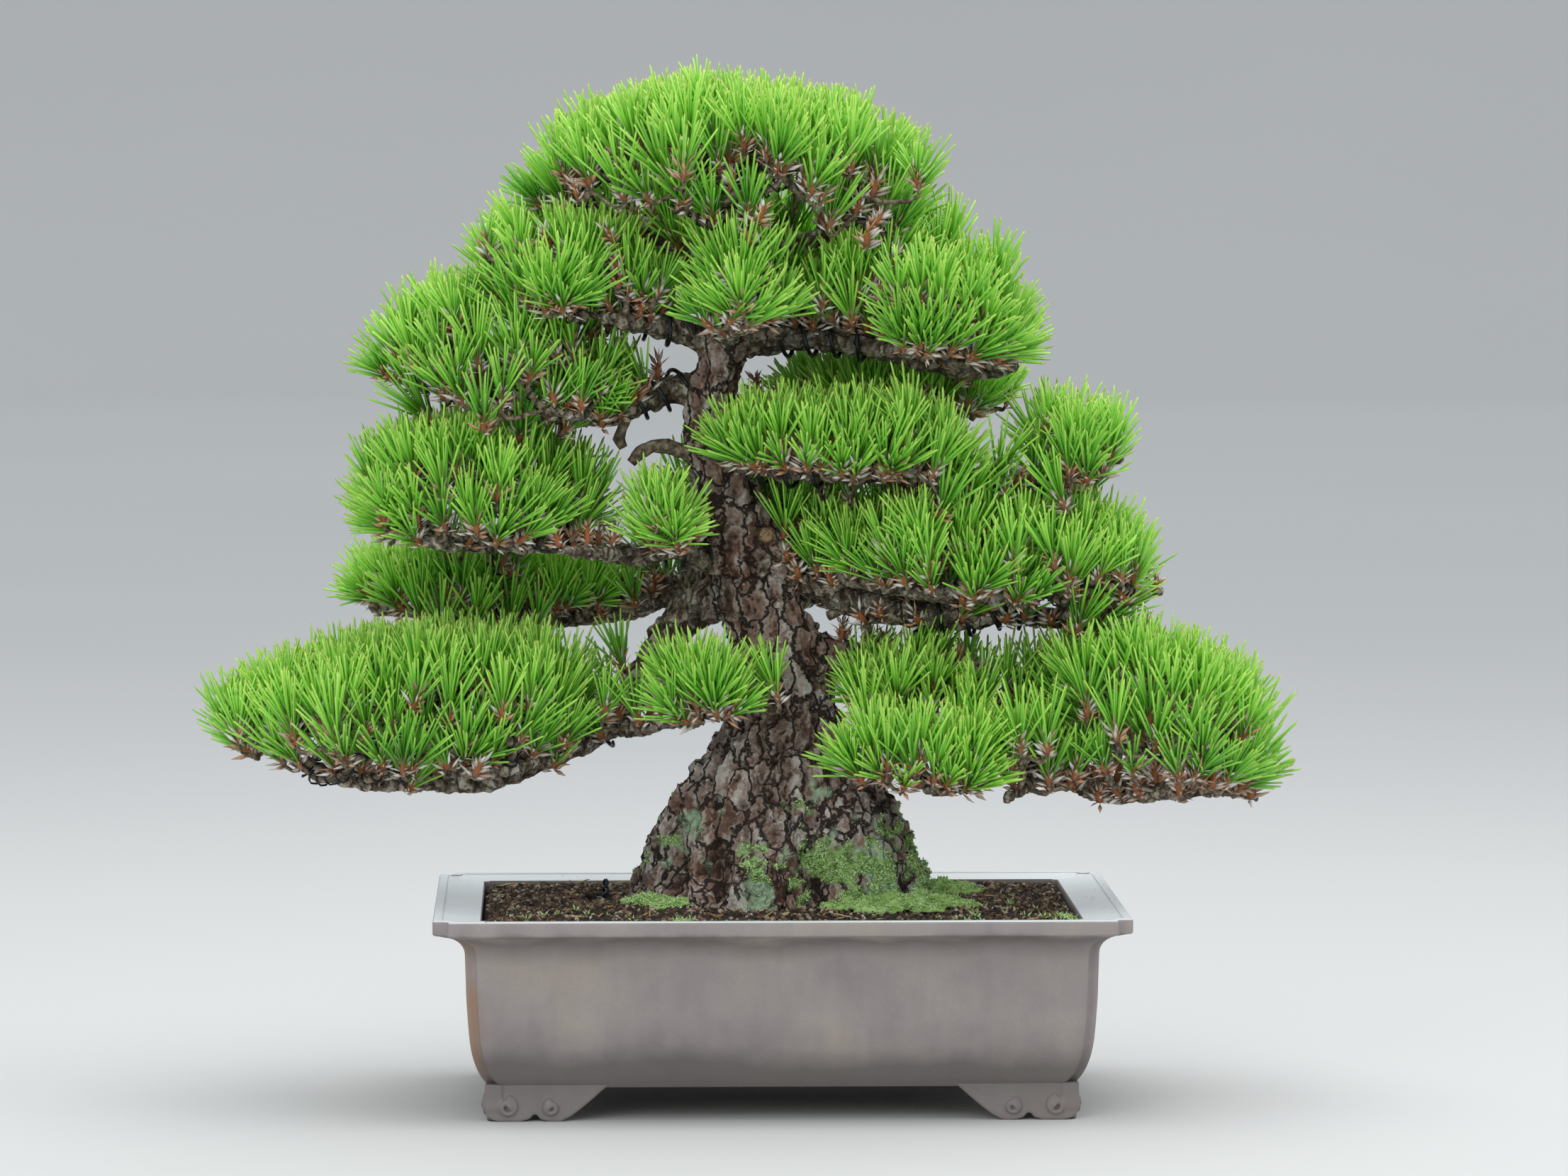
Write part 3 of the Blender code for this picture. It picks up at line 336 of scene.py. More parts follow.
def readings(tree, *names):  # what each attribute holds
    return [addNode(tree, "ShaderNodeAttribute", attribute_name=name).outputs["Fac"] for name in names]


def needleFinish():
    # Black pine needles: waxy and translucent green, pale at the sheath, ripe orange at the tip
    material, tree, shader = newMaterial("pine_needle_wax", Roughness=0.36, Specular_IOR_Level=0.5)
    along, shade = readings(tree, "along", "shade")
    deep, bright = (fillRamp(addNode(tree, "ShaderNodeValToRGB", {"Fac": along}), stops) for stops in (
        [(0.0, "b3a08a"), (0.10, "a9b98a"), (0.2, "4f9a2c"), (0.6, "63b733"), (0.95, "8ccf45"), (0.985, "c0a24a")],
        [(0.0, "c9b9a4"), (0.10, "c9d8a0"), (0.2, "8ad240"), (0.6, "a6ef52"), (0.955, "c8f66e"), (0.99, "d9a85c")]))
    # the mix runs from deep to bright green with each needle's shade, which carries its tuft's painted light and shade
    # as well as a random spread
    plug(shader, {"Base Color": layered(tree, deep, (shade, bright))})
    return material


def budFinish():
    # Papery bud scales: rust brown inside, silvery grey where the old sheaths have dried
    material, tree, shader = newMaterial("papery_bud_scale", Roughness=0.75)
    along, shade = readings(tree, "along", "shade")
    kind = fillRamp(addNode(tree, "ShaderNodeValToRGB", {"Fac": shade}),
                    [(0.0, "8c4f2b"), (0.22, "d08646"), (0.40, "b98a66"), (0.50, "c9bcae"), (0.72, "f0ece6"),
                     (1.0, "b0a396")])
    plug(shader, {"Base Color": layered(tree, kind, (product(tree, along, 0.45), "d8cfc4"))})
    return material


def twigFinish():
    # Young pine wood: knobbly, ochre grey, rusty where the bud begins
    material, tree, shader = newMaterial("pine_twig_bark", Roughness=0.85)
    place = addNode(tree, "ShaderNodeTexCoord").outputs["Object"]
    grain = addNode(tree, "ShaderNodeTexNoise", {"Vector": place, "Scale": 260, "Detail": 4})  # 4 mm knobs
    wood = fillRamp(addNode(tree, "ShaderNodeValToRGB", {"Fac": grain.outputs["Fac"]}),
                    [(0.3, "2f2923"), (0.45, "5f5345"), (0.58, "8b7a62"), (0.72, "a9a294")])
    bud, = readings(tree, "bud")
    surface(tree, shader, layered(tree, wood, (bud, "a05f33")), grain.outputs["Fac"], 0.7, 0.0012)
    return material


def barkFinish():
    # Old black pine bark: grey-brown flakes, paler where they stand proud (partly a painted highlight) and along their
    # lifted edges (a painted highlight), dark in the fissures, red-brown where one has come away, with mint lichen
    # crusts and moss low down
    material, tree, shader = newMaterial("black_pine_bark", Roughness=0.88, Specular_IOR_Level=0.3)
    place = addNode(tree, "ShaderNodeTexCoord").outputs["Object"]
    crack, relief, lichen, moss, limb, sawn = readings(tree, "crack", "relief", "lichen", "moss", "limb", "sawn")
    coarse = addNode(tree, "ShaderNodeTexNoise", {"Vector": place, "Scale": 24, "Detail": 3})  # 40 mm drifts
    fine = addNode(tree, "ShaderNodeTexNoise", {"Vector": place, "Scale": 380, "Detail": 6, "Roughness": 0.72})
    fine = fine.outputs["Fac"]
    ragged = addNode(tree, "ShaderNodeMapping", {"Vector": place, "Scale": (1, 1, 0.35)}).outputs["Vector"]
    for scale, shift in ((55, 0.016), (330, 0.0045)):  # plates wander over 18 mm, their edges over 3 mm
        wander = addNode(tree, "ShaderNodeTexNoise", {"Vector": place, "Scale": scale, "Detail": 2})
        shifted = addNode(tree, "ShaderNodeVectorMath", {0: wander.outputs["Color"], "Scale": shift},
                          operation="SCALE")
        ragged = addNode(tree, "ShaderNodeVectorMath", {0: ragged, 1: shifted.outputs[0]}, operation="ADD").outputs[0]
    plates, seams, flakes = (addNode(tree, "ShaderNodeTexVoronoi", {"Vector": ragged, "Scale": scale},
                                     feature=feature).outputs
                             for scale, feature in ((78, "F1"), (78, "DISTANCE_TO_EDGE"), (250, "F1")))
    plateLot, flakeLot = (addNode(tree, "ShaderNodeSeparateColor", {"Color": cells["Color"]}).outputs[0]
                          for cells in (plates, flakes))  # plates of 13 by 35 mm, flakes of 4 by 11 mm
    seam = addNode(tree, "ShaderNodeMapRange", {"Value": seams["Distance"], 1: 0.02, 2: 0.10, 3: 1.0, 4: 0.0},
                   interpolation_type="SMOOTHSTEP").outputs[0]
    # paler towards each plate's edge: a painted highlight along the lifted edges; the same mask also raises those edges
    # in the bump
    curlAndPaintedHighlight = addNode(tree, "ShaderNodeMapRange", {"Value": seams["Distance"], 1: 0.07, 2: 0.24, 3: 1.0, 4: 0.0})
    curlAndPaintedHighlight = curlAndPaintedHighlight.outputs[0]
    # the tone rises with the relief: bark and knobs that stand proud are paler and low bark darker, partly the plates'
    # own weathered grey, partly painted highlight and shade
    tone = weighted(tree, relief, (0.55, plateLot), (0.75, flakeLot), (1.3, fine), (0.35, curlAndPaintedHighlight))
    limbTone = weighted(tree, fine, (0.5, flakeLot), (0.6, relief))
    flaky, warm, limbs, crust, green, cut = (
        fillRamp(addNode(tree, "ShaderNodeValToRGB", {"Fac": value}), stops) for value, stops in (
            (product(tree, tone, 0.27), [(0.28, "4c3c33"), (0.38, "7c6659"), (0.46, "9c8a7e"), (0.54, "b6a9a0"),
                                         (0.63, "cfc8c1"), (0.74, "ebe7e2")]),
            (coarse.outputs["Fac"], [(0.40, "a0705f"), (0.50, "928078"), (0.60, "969696")]),
            (product(tree, limbTone, 0.49), [(0.30, "463c33"), (0.42, "7a6b5a"), (0.52, "a09380"),
                                             (0.62, "c2b9a9"), (0.75, "ddd9d0")]),
            (fine, [(0.35, "86a27c"), (0.5, "abc4a0"), (0.65, "cadbbf")]),
            (fine, [(0.35, "6d9049"), (0.5, "9cc276"), (0.65, "c6dfa6")]),
            (fine, [(0.4, "a98a63"), (0.6, "c9ad84")])))
    tinted = layered(tree, flaky, (0.55, warm), blend="SOFT_LIGHT")
    seamHere = product(tree, seam, weighted(tree, 1.0, (-0.35, limb)))
    colour = layered(tree, tinted, (limb, limbs), (seamHere, "3a2d26"), (crack, "33291f"), (lichen, crust),
                     (moss, green), (sawn, cut))
    rough = weighted(tree, fine, (0.7, plateLot), (0.45, flakeLot), (0.5, curlAndPaintedHighlight), (-1.6, seam))
    surface(tree, shader, colour, rough, 1.0, 0.0017)
    return material


def stonewareFinish():
    # Unglazed purple-brown stoneware, burnished by handling: satin walls, damp-polished lip painted near-white as a
    # painted reflection of the sky, painted shade under the lip and along the base, iron-orange at the left end
    material, tree, shader = newMaterial("unglazed_stoneware", Specular_IOR_Level=0.5)
    place = addNode(tree, "ShaderNodeTexCoord").outputs["Object"]
    split = addNode(tree, "ShaderNodeSeparateXYZ", {"Vector": place}).outputs
    tall = addNode(tree, "ShaderNodeMapping", {"Vector": place, "Scale": (1, 1, 0.22)}).outputs["Vector"]
    patches, streaks, grit = (
        addNode(tree, "ShaderNodeTexNoise", {"Vector": vector, "Scale": scale, "Detail": detail,
                                             "Roughness": rough}).outputs["Fac"]
        for vector, scale, detail, rough in ((place, 14, 4, 0.55), (tall, 90, 5, 0.5), (place, 1500, 3, 0.5)))
    clay, wash, grain = (fillRamp(addNode(tree, "ShaderNodeValToRGB", {"Fac": value}), stops) for value, stops in (
        (patches, [(0.34, "8e8583"), (0.46, "968d8b"), (0.56, "9c938f"), (0.68, "a3988f")]),
        (streaks, [(0.35, 0.44), (0.5, 0.5), (0.65, 0.56)]),
        (grit, [(0.3, 0.40), (0.5, 0.5), (0.7, 0.60)])))  # 0.7 mm grog
    body = layered(tree, clay, (0.35, wash), (0.35, grain), blend="OVERLAY")

    # painted shade: dark bands by height, under the lip and along the base, their edges broken by the patches
    height = weighted(tree, -0.015, (0.030, patches), (1, split["Z"]))
    paintedShadeBands = fillRamp(addNode(tree, "ShaderNodeValToRGB", {"Fac": product(tree, height, 1 / 0.14)}),
                    [(0.0, 0.3), (0.17, 0.6), (0.26, 0.72), (0.36, 0.2), (0.5, 0.0), (0.76, 0.03), (0.85, 0.55),
                     (0.875, 0.25), (0.89, 0.0)])

    # iron tint at the left end, and the lip's upward faces: polished, with a near-white painted reflection of the sky,
    # and soil specks
    up = addNode(tree, "ShaderNodeSeparateXYZ", {
        "Vector": addNode(tree, "ShaderNodeNewGeometry").outputs["Normal"]}).outputs["Z"]
    left, walls, top, flat = (
        addNode(tree, "ShaderNodeMapRange", {"Value": value, 1: low, 2: high, 3: start, 4: 1.0 - start},
                interpolation_type=steps).outputs[0]
        for value, low, high, start, steps in (
            (weighted(tree, split["X"], (0.07, patches)), potLow.x + 0.050, potLow.x + 0.070, 1.0, "SMOOTHSTEP"),
            (split["Z"], potHigh.z - 0.020, potHigh.z - 0.014, 1.0, "LINEAR"),
            (split["Z"], potHigh.z - 0.006, potHigh.z - 0.004, 0.0, "LINEAR"),
            (up, 0.6, 0.85, 0.0, "LINEAR")))
    lip = product(tree, top, flat)
    specks = addNode(tree, "ShaderNodeTexVoronoi", {"Vector": place, "Scale": 170}, feature="F1").outputs["Distance"]
    dots = addNode(tree, "ShaderNodeMath", {0: specks, 1: 0.13}, operation="LESS_THAN").outputs[0]
    crowd = addNode(tree, "ShaderNodeMath", {0: patches, 1: 0.52}, operation="GREATER_THAN").outputs[0]
    # over the body go the painted shade bands, the iron tint, the lip's painted reflection and its soil specks
    colour = layered(tree, body, (paintedShadeBands, "56504e"), (product(tree, left, streaks, walls, 1.05), "a5794f"),
                     (lip, "eceff0"), (product(tree, dots, crowd, lip), "3a332c"))
    satin = addNode(tree, "ShaderNodeMapRange", {"Value": patches, 1: 0.3, 2: 0.7, 3: 0.40, 4: 0.56}).outputs[0]
    gloss = addNode(tree, "ShaderNodeMix", {0: lip, 2: satin, 3: 0.2}, data_type="FLOAT").outputs[0]
    bump = addNode(tree, "ShaderNodeBump", {"Height": grit, "Strength": 0.16, "Distance": 0.0006})
    wavy = addNode(tree, "ShaderNodeBump", {"Height": patches, "Strength": 0.25, "Distance": 0.004,
                                            "Normal": bump.outputs["Normal"]})
    plug(shader, {"Base Color": colour, "Roughness": gloss, "Normal": wavy.outputs["Normal"]})
    return material


def crumbFinish(name, stops, roughness):
    # Baked-clay and bark crumbs, each with its own tone
    material, tree, shader = newMaterial(name, Roughness=roughness)
    place = addNode(tree, "ShaderNodeTexCoord").outputs["Object"]
    shade, = readings(tree, "shade")
    grain = addNode(tree, "ShaderNodeTexNoise", {"Vector": place, "Scale": 900, "Detail": 3}).outputs["Fac"]
    mixed = addNode(tree, "ShaderNodeMath", {0: weighted(tree, -0.25, (0.5, grain)), 1: shade}, operation="ADD",
                    use_clamp=True)
    tone = fillRamp(addNode(tree, "ShaderNodeValToRGB", {"Fac": mixed.outputs[0]}), stops)
    surface(tree, shader, tone, grain, 0.5, 0.0006)
    return material


def grainFinish(name, scale, stops, bumpDepth, **constants):
    # One tone that drifts over a noise of the given scale, and the same noise raised
    material, tree, shader = newMaterial(name, **constants)
    place = addNode(tree, "ShaderNodeTexCoord").outputs["Object"]
    grain = addNode(tree, "ShaderNodeTexNoise", {"Vector": place, "Scale": scale, "Detail": 4}).outputs["Fac"]
    tone = fillRamp(addNode(tree, "ShaderNodeValToRGB", {"Fac": grain}), stops)
    surface(tree, shader, tone, grain, 0.6, bumpDepth)
    return material


finish = {
    "needle": needleFinish(),
    "bud": budFinish(),
    "twig": twigFinish(),
    "bark": barkFinish(),
    "stoneware": stonewareFinish(),
    "crumb": crumbFinish("potting_crumb", [(0.0, "241d18"), (0.35, "43362b"), (0.6, "5d4a3a"), (0.8, "7f6a55"),
                                           (0.93, "a3917b"), (1.0, "cbbfae")], 0.9),
    "chip": crumbFinish("pine_bark_chip", [(0.0, "3b2a20"), (0.4, "6a4630"), (0.7, "8c6a4c"), (1.0, "b79f7d")], 0.85),
    "straw": crumbFinish("dry_needle_straw", [(0.0, "8a6f3f"), (0.5, "b79b60"), (1.0, "d6c795")], 0.7),
    "grit": crumbFinish("pumice_grit", [(0.0, "b5b0a6"), (0.5, "d5d2ca"), (1.0, "eceae5")], 0.9),
    "moss": crumbFinish("cushion_moss", [(0.0, "7c9c50"), (0.4, "a4c974"), (0.7, "c2e096"), (1.0, "e2f0c6")], 0.85),
    "earth": grainFinish("dark_potting_earth", 500, [(0.35, "1d1713"), (0.5, "32281f"), (0.65, "4c3d30")], 0.002,
                         Roughness=0.95),
    "pumice": grainFinish("washed_pumice_layer", 260, [(0.35, "8a8273"), (0.5, "aaa292"), (0.65, "c9c3b5")], 0.003,
                          Roughness=0.95),
    # Anodised aluminium wire, brown-black and dulled outdoors
    "wire": grainFinish("anodised_aluminium_wire", 700, [(0.35, "26282b"), (0.5, "34373b"), (0.65, "474a4e")],
                        0.0003, Metallic=0.85, Roughness=0.42),
    "steel": grainFinish("galvanised_tie_wire", 900, [(0.35, "3a3b3d"), (0.5, "55575a"), (0.65, "77797b")], 0.0003,
                         Metallic=0.9, Roughness=0.45),
    "plastic": grainFinish("moulded_screen_plastic", 600, [(0.35, "17181a"), (0.65, "222325")], 0.0003,
                           Roughness=0.55),
}
stage("finishes")


def swollen(obj, amount):  # moves every point along its normal
    moveTo(obj.data, pointsOf(obj.data) + normalsOf(obj.data) * amount)
    return obj


def joined(name, objects):
    whole = bmesh.new()
    for obj in objects:
        whole.from_mesh(obj.data)
        bpy.data.objects.remove(obj)
    return newObject(name, meshFrom(name, whole))


def treeOf(obj):
    return BVHTree.FromPolygons([v.co.copy() for v in obj.data.vertices],
                                [tuple(p.vertices) for p in obj.data.polygons])


# ---- the tree's wood

bark = {
    "voxel": 1.7 * mm,
    "flake": (13 * mm, 6.5 * mm),      # flake width at the base and at the top
    "lengthen": 2.3,                   # flakes are longer up the trunk than across
    "ridge": (5.5 * mm, 2.0 * mm),     # depth of the long ridges, base and top
    "fissure": (2.6 * mm, 1.5 * mm),
    "step": (2.6 * mm, 1.7 * mm),      # how far one flake stands above the next
    "knob": 2.2 * mm,                  # on the branches
    "triangles": 194000,
    # heights in mm: height, x, y, reach
    "line": [(94, 2, 0, 95), (131, 2, 0, 99), (157, 7, 0, 87), (182, 4, 1, 78), (207, 4, 2, 66), (233, 5, 3, 47),
             (259, 6, 4, 33), (285, 5, 6, 31), (311, -3, 8, 31), (337, -16, 8, 28), (362, -23, 8, 28),
             (388, -29, 5, 26), (409, -37, 0, 20), (434, -45, -4, 17), (476, -40, -7, 15), (520, -32, -9, 13),
             (575, -29, -13, 8), (626, -24, -18, 3.5)],
    "knots": [(-14, 143, 15), (-7.5, 373, 6)],       # x, z and radius in mm, on the front
}


def trunkAt(z):
    line = np.array(bark["line"]) * mm
    return [np.interp(z, line[:, 0], line[:, k]) for k in (1, 2, 3)]


def drift(points, scale, finer, shift):  # two layers of noise at each point
    shift = Vector(shift)
    return np.array([noise.noise(Vector(p) * scale + shift) + 0.6 * noise.noise(Vector(p) * finer + shift)
                     for p in points])


def makeWood():
    wood = remeshed(mergedCopy("trunk_bark", "trunk_and_branches"), bark["voxel"], 6)
    mesh = wood.data
    points, normals = pointsOf(mesh), normalsOf(mesh)
    local = points - np.array(middle)
    x, y, reach = trunkAt(local[:, 2])
    away = np.hypot(local[:, 0] - x, local[:, 1] - y)
    trunk = 1 - ramped(1.15, 1.5, away / np.maximum(reach, 9 * mm))
    trunk *= 1 - ramped(0.50, 0.58, local[:, 2])
    up = ramped(0.15, 0.42, local[:, 2])
    flake, fissure, step, deep = (bark[name][0] + (bark[name][1] - bark[name][0]) * up
                                  for name in ("flake", "fissure", "step", "ridge"))
    width = np.where(trunk > 0.5, flake, 7.5 * mm)
    count = len(points)
    edge, lot, tilt, ridge, fine, knob = np.zeros((6, count))
    for i in range(count):
        p = Vector(local[i])
        q = p + noise.noise_vector(p * 45) * 0.008 + noise.noise_vector(p * 150) * 0.0035
        w = width[i]
        cell = Vector((q.x / w, q.y / w, q.z / w / bark["lengthen"]))
        dist, spots = noise.voronoi(cell)
        spot = spots[0]
        edge[i] = (dist[1] - dist[0]) * (1.3 + 0.9 * noise.noise(p * 90))
        chance = math.sin(spot.x * 127.1 + spot.y * 311.7 + spot.z * 74.7) * 43758.5453  # a flake's own lot
        lot[i] = chance - math.floor(chance)
        lean = Vector((math.cos(lot[i] * 40), math.sin(lot[i] * 40), 0.8))
        tilt[i] = (cell - spot).dot(lean)
        long = Vector((q.x * 46, q.y * 46, q.z * 17))
        ridge[i] = 1 - 2.2 * abs(noise.noise(long)) - 0.9 * abs(noise.noise(long * 2.3))
        fine[i] = noise.noise(q * 260) + 0.7 * noise.noise(q * 620)
        knob[i] = noise.noise(p * 105) + 0.5 * noise.noise(p * 230)
    fissured = (1 - ramped(0.0, 0.13, edge)) * ramped(-0.25, 0.2, -ridge + 0.5 * knob + 0.25)
    onTrunk = deep * (ridge - 0.45) - fissure * fissured + step * (lot - 0.5) + step * np.clip(tilt, -0.6, 0.6)
    onTrunk += 0.55 * mm * fine
    onLimb = bark["knob"] * knob - 1.1 * mm * (1 - ramped(0.0, 0.22, edge)) + 0.9 * mm * (lot - 0.5) + 0.35 * mm * fine
    rise = trunk * onTrunk + (1 - trunk) * onLimb
    relief = np.where(trunk > 0.5, 0.5 + onTrunk / (2.8 * deep), 0.5 + onLimb / (4.5 * mm))
    front = normals[:, 1] < -0.2
    sawn, ringed = np.zeros(count), np.zeros(count)
    for knotX, knotZ, radius in bark["knots"]:
        off = np.hypot(local[:, 0] - knotX * mm, local[:, 2] - knotZ * mm) / (radius * mm)
        near = front & (off < 1.9)
        ring = np.exp(-((off - 1.05) / 0.3) ** 2) + 0.45 * np.cos(off * 17) * (1 - ramped(1.1, 1.6, off))
        inner = 1 - ramped(0.55, 0.9, off)
        rise = np.where(near, rise * ramped(0.3, 1.7, off) + radius * mm * (0.24 * ring - 0.12 * inner), rise)
        ringed = np.where(near, np.maximum(ringed, inner), ringed)
        if radius < 8:
            sawn = np.where(near, np.maximum(sawn, inner), sawn)
    fissured = np.where(ringed > 0.3, fissured * 0.2, fissured)
    coils = joined("coils", [mergedCopy("coil", n) for n in nodes if n.startswith("wire_")])
    coilTree = treeOf(coils)
    bpy.data.objects.remove(coils)
    bound = np.array([min(coilTree.find_nearest(Vector(p))[3], 0.02) for p in points])
    rise = np.where(bound < 7 * mm, np.minimum(rise, -1.2 * mm + ramped(2 * mm, 7 * mm, bound) * 2.6 * mm), rise)
    points = points + normals * rise[:, None]
    moveTo(mesh, points)
    base = 1 - ramped(0.150, 0.235, local[:, 2])
    right = ramped(0.0, 0.07, local[:, 0])
    crust = drift(local, 40, 150, (7, 3, 1))
    speckle = drift(local, 110, 420, (2, 5, 8))
    lichen = ramped(0.0, 0.12, crust + 0.35 * speckle + 0.5 * base * (0.25 + 1.1 * right) - 0.6) * trunk
    lichen *= ramped(0.0, 0.15, base)
    lichen = np.maximum(lichen, np.where(sawn > 0, 0, ramped(0.25, 0.5, ringed * (0.42 + speckle + 0.6 * crust))))
    damp = drift(local, 30, 130, (3, 9, 4)) + 0.35 * speckle
    foot = 1 - ramped(0.128, 0.215, local[:, 2])
    moss = ramped(0.0, 0.12, 1.25 * damp + 0.75 * foot * (0.15 + 1.0 * right) - 0.62) * trunk * ramped(0.0, 0.2, foot)
    crack = np.clip(fissured * trunk + 0.8 * (1 - trunk) * (1 - ramped(0.0, 0.16, edge)), 0, 1)
    for name, values in (("crack", crack), ("relief", np.clip(relief, 0, 1)), ("lichen", lichen), ("moss", moss),
                         ("limb", 1 - trunk), ("sawn", sawn)):
        store(mesh, name, values)
    dress(thinned(wood, bark["triangles"]).data, finish["bark"])
    return ride(wood, "pine_bark", "trunk_and_branches")


wood = makeWood()
woodTree = treeOf(wood)
stage(f"wood, {len(wood.data.polygons)} faces")

# ---- needle tufts

tufts = {
    "spacing": 19.5 * mm,
    "needle": 47 * mm,
    "clearance": 4 * mm,       # of a tuft's base above the cloud's underside
    "lean": (0.55, 0.26),      # how much a side tuft leans out, along x and along y
    "needles": 17,
    "spread": 29,
    "candle": 8 * mm,          # length of shoot that the needles leave from
    "thickness": 1.9 * mm,
    "bend": 2.6 * mm,
    "sink": 30 * mm,           # how far a clump of tufts may stand back from the next
    "proud": 7 * mm,           # and how far it may stand out
    "open": 0.5,               # share of the buds on the crown's front that carry no needles
    "bridge": 13 * mm,         # gaps up to twice this are closed within a group of clouds
    "seed": 11,
    "spots": 40000,            # tried on the clouds' skin
    "pastSides": 4 * mm,       # how far a tuft may reach past the CAD model's sides
    "halfSpread": 0.46,        # of a tuft, as a share of its length
    # length, lean and how far it stands back, tried in turn until the tuft's base is inside its cloud
    "tries": [(1.0, 1.0, 1.0), (0.93, 1.4, 0.6), (0.86, 1.9, 0.3), (0.78, 2.5, 0.1), (0.66, 2.5, 0)],
}
clouds = sorted(n for n in nodes if n.startswith("foliage_"))
groups = ("crown", "low_right", "low_left", "mid_left", "mid_right", "upper_right", "upper_left", "back", "rear")


def cloudShell():  # the clouds of a group swell until they meet, and shrink back as one
    masses = []
    for group in groups:
        members = [n for n in clouds if n.startswith("foliage_" + group)]
        parts = [swollen(mergedCopy("part", n), tufts["bridge"]) for n in members]
        mass = remeshed(joined("mass", parts), 5 * mm, 2)
        masses.append(remeshed(swollen(mass, 3.4 * mm - tufts["bridge"]), 5 * mm, 1))
    return remeshed(joined("shell", masses), 5 * mm, 2)


def depthIn(tree, point):  # positive inside
    place, normal, _, distance = tree.find_nearest(point)
    return -distance if (point - place).dot(normal) > 0 else distance


def scatterOn(mesh, count, seed, weights=None):
    mesh.calc_loop_triangles()
    points = pointsOf(mesh)
    corners = np.array([t.vertices for t in mesh.loop_triangles])
    a, b, c = points[corners[:, 0]], points[corners[:, 1]], points[corners[:, 2]]
    cross = np.cross(b - a, c - a)
    area = np.linalg.norm(cross, axis=1) + 1e-18
    normal = cross / area[:, None]
    share = area if weights is None else area * weights[corners].mean(1)
    rng = np.random.default_rng(seed)
    pick = rng.choice(len(area), count, p=share / share.sum())
    u, v = rng.random(count), rng.random(count)
    flip = u + v > 1
    u[flip], v[flip] = 1 - u[flip], 1 - v[flip]
    return a[pick] + u[:, None] * (b[pick] - a[pick]) + v[:, None] * (c[pick] - a[pick]), normal[pick]


def nearestCloud(trees, point):
    return min(clouds, key=lambda node: trees[node].find_nearest(point)[3])


def kdTreeOf(points):
    search = KDTree(len(points))
    for k, point in enumerate(points):
        search.insert(point, k)
    search.balance()
    return search


def findTufts():
    shell = cloudShell()
    shellTree = treeOf(shell)
    trees = {}
    for node in clouds:
        copy = mergedCopy("one_cloud", node)
        trees[node] = treeOf(copy)
        bpy.data.objects.remove(copy)
    tries = tufts["spots"]
    spots, normals = scatterOn(shell.data, tries, tufts["seed"])
    rng = np.random.default_rng(tufts["seed"])
    jitter = rng.normal(0, 1, (tries, 3))
    sizes = rng.uniform(0.74, 1.12, tries)
    lots = rng.random(tries)
    crownTop = max(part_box(node)[1].z for node in clouds)
    taken, found = {}, []
    cellSize = tufts["spacing"]
    for i in range(tries):
        n = normals[i]
        if n[2] < -0.12:
            continue
        p = spots[i]
        cell = tuple(int(math.floor(k)) for k in p / cellSize)
        near = [q for dx in (-1, 0, 1) for dy in (-1, 0, 1) for dz in (-1, 0, 1)
                for q in taken.get((cell[0] + dx, cell[1] + dy, cell[2] + dz), ())]
        if any(np.sum((q - p) ** 2) < cellSize ** 2 for q in near):
            continue
        tip = Vector(p)
        if woodTree.find_nearest(tip)[3] < 8 * mm:
            continue
        wave = noise.noise(tip * 24) + 0.6 * noise.noise(tip * 61) + 0.08
        sink = tufts["sink"] * wave if wave > 0 else tufts["proud"] * 2 * wave
        for length, push, sunk in tufts["tries"]:
            axis = Vector((n[0] * tufts["lean"][0] * push, n[1] * tufts["lean"][1] * push, 0.62 + 0.38 * n[2]))
            axis += Vector(jitter[i]) * 0.09
            axis.normalize()
            reach = tufts["needle"] * sizes[i] * length
            inset = Vector((n[0], n[1], 0.4)) * (4 * mm + sink * sunk)
            inset.z += (2 + jitter[i][0] * 3 * sunk) * mm
            base = tip - inset - axis * reach
            if depthIn(shellTree, base) > tufts["clearance"] and woodTree.find_nearest(base)[3] > 2 * mm:
                break
        else:
            continue
        taken.setdefault(cell, []).append(p)
        owner = nearestCloud(trees, tip)
        bare = (owner.startswith("foliage_crown") and n[1] < -0.3 and n[2] < 0.75
                and crownTop - 0.15 < base.z < crownTop - 0.07 and lots[i] < tufts["open"])
        found.append({"base": base, "axis": axis, "size": sizes[i] * length, "cloud": owner, "height": n[2],
                      "bare": bare})
    bpy.data.objects.remove(shell)
    return found, trees


found, cloudTrees = findTufts()
stage(f"{len(found)} tufts")

shoots = {"spots": 9000, "spacing": 11 * mm, "fromTuft": 9 * mm, "reach": 14 * mm, "share": 0.38, "seed": 17}


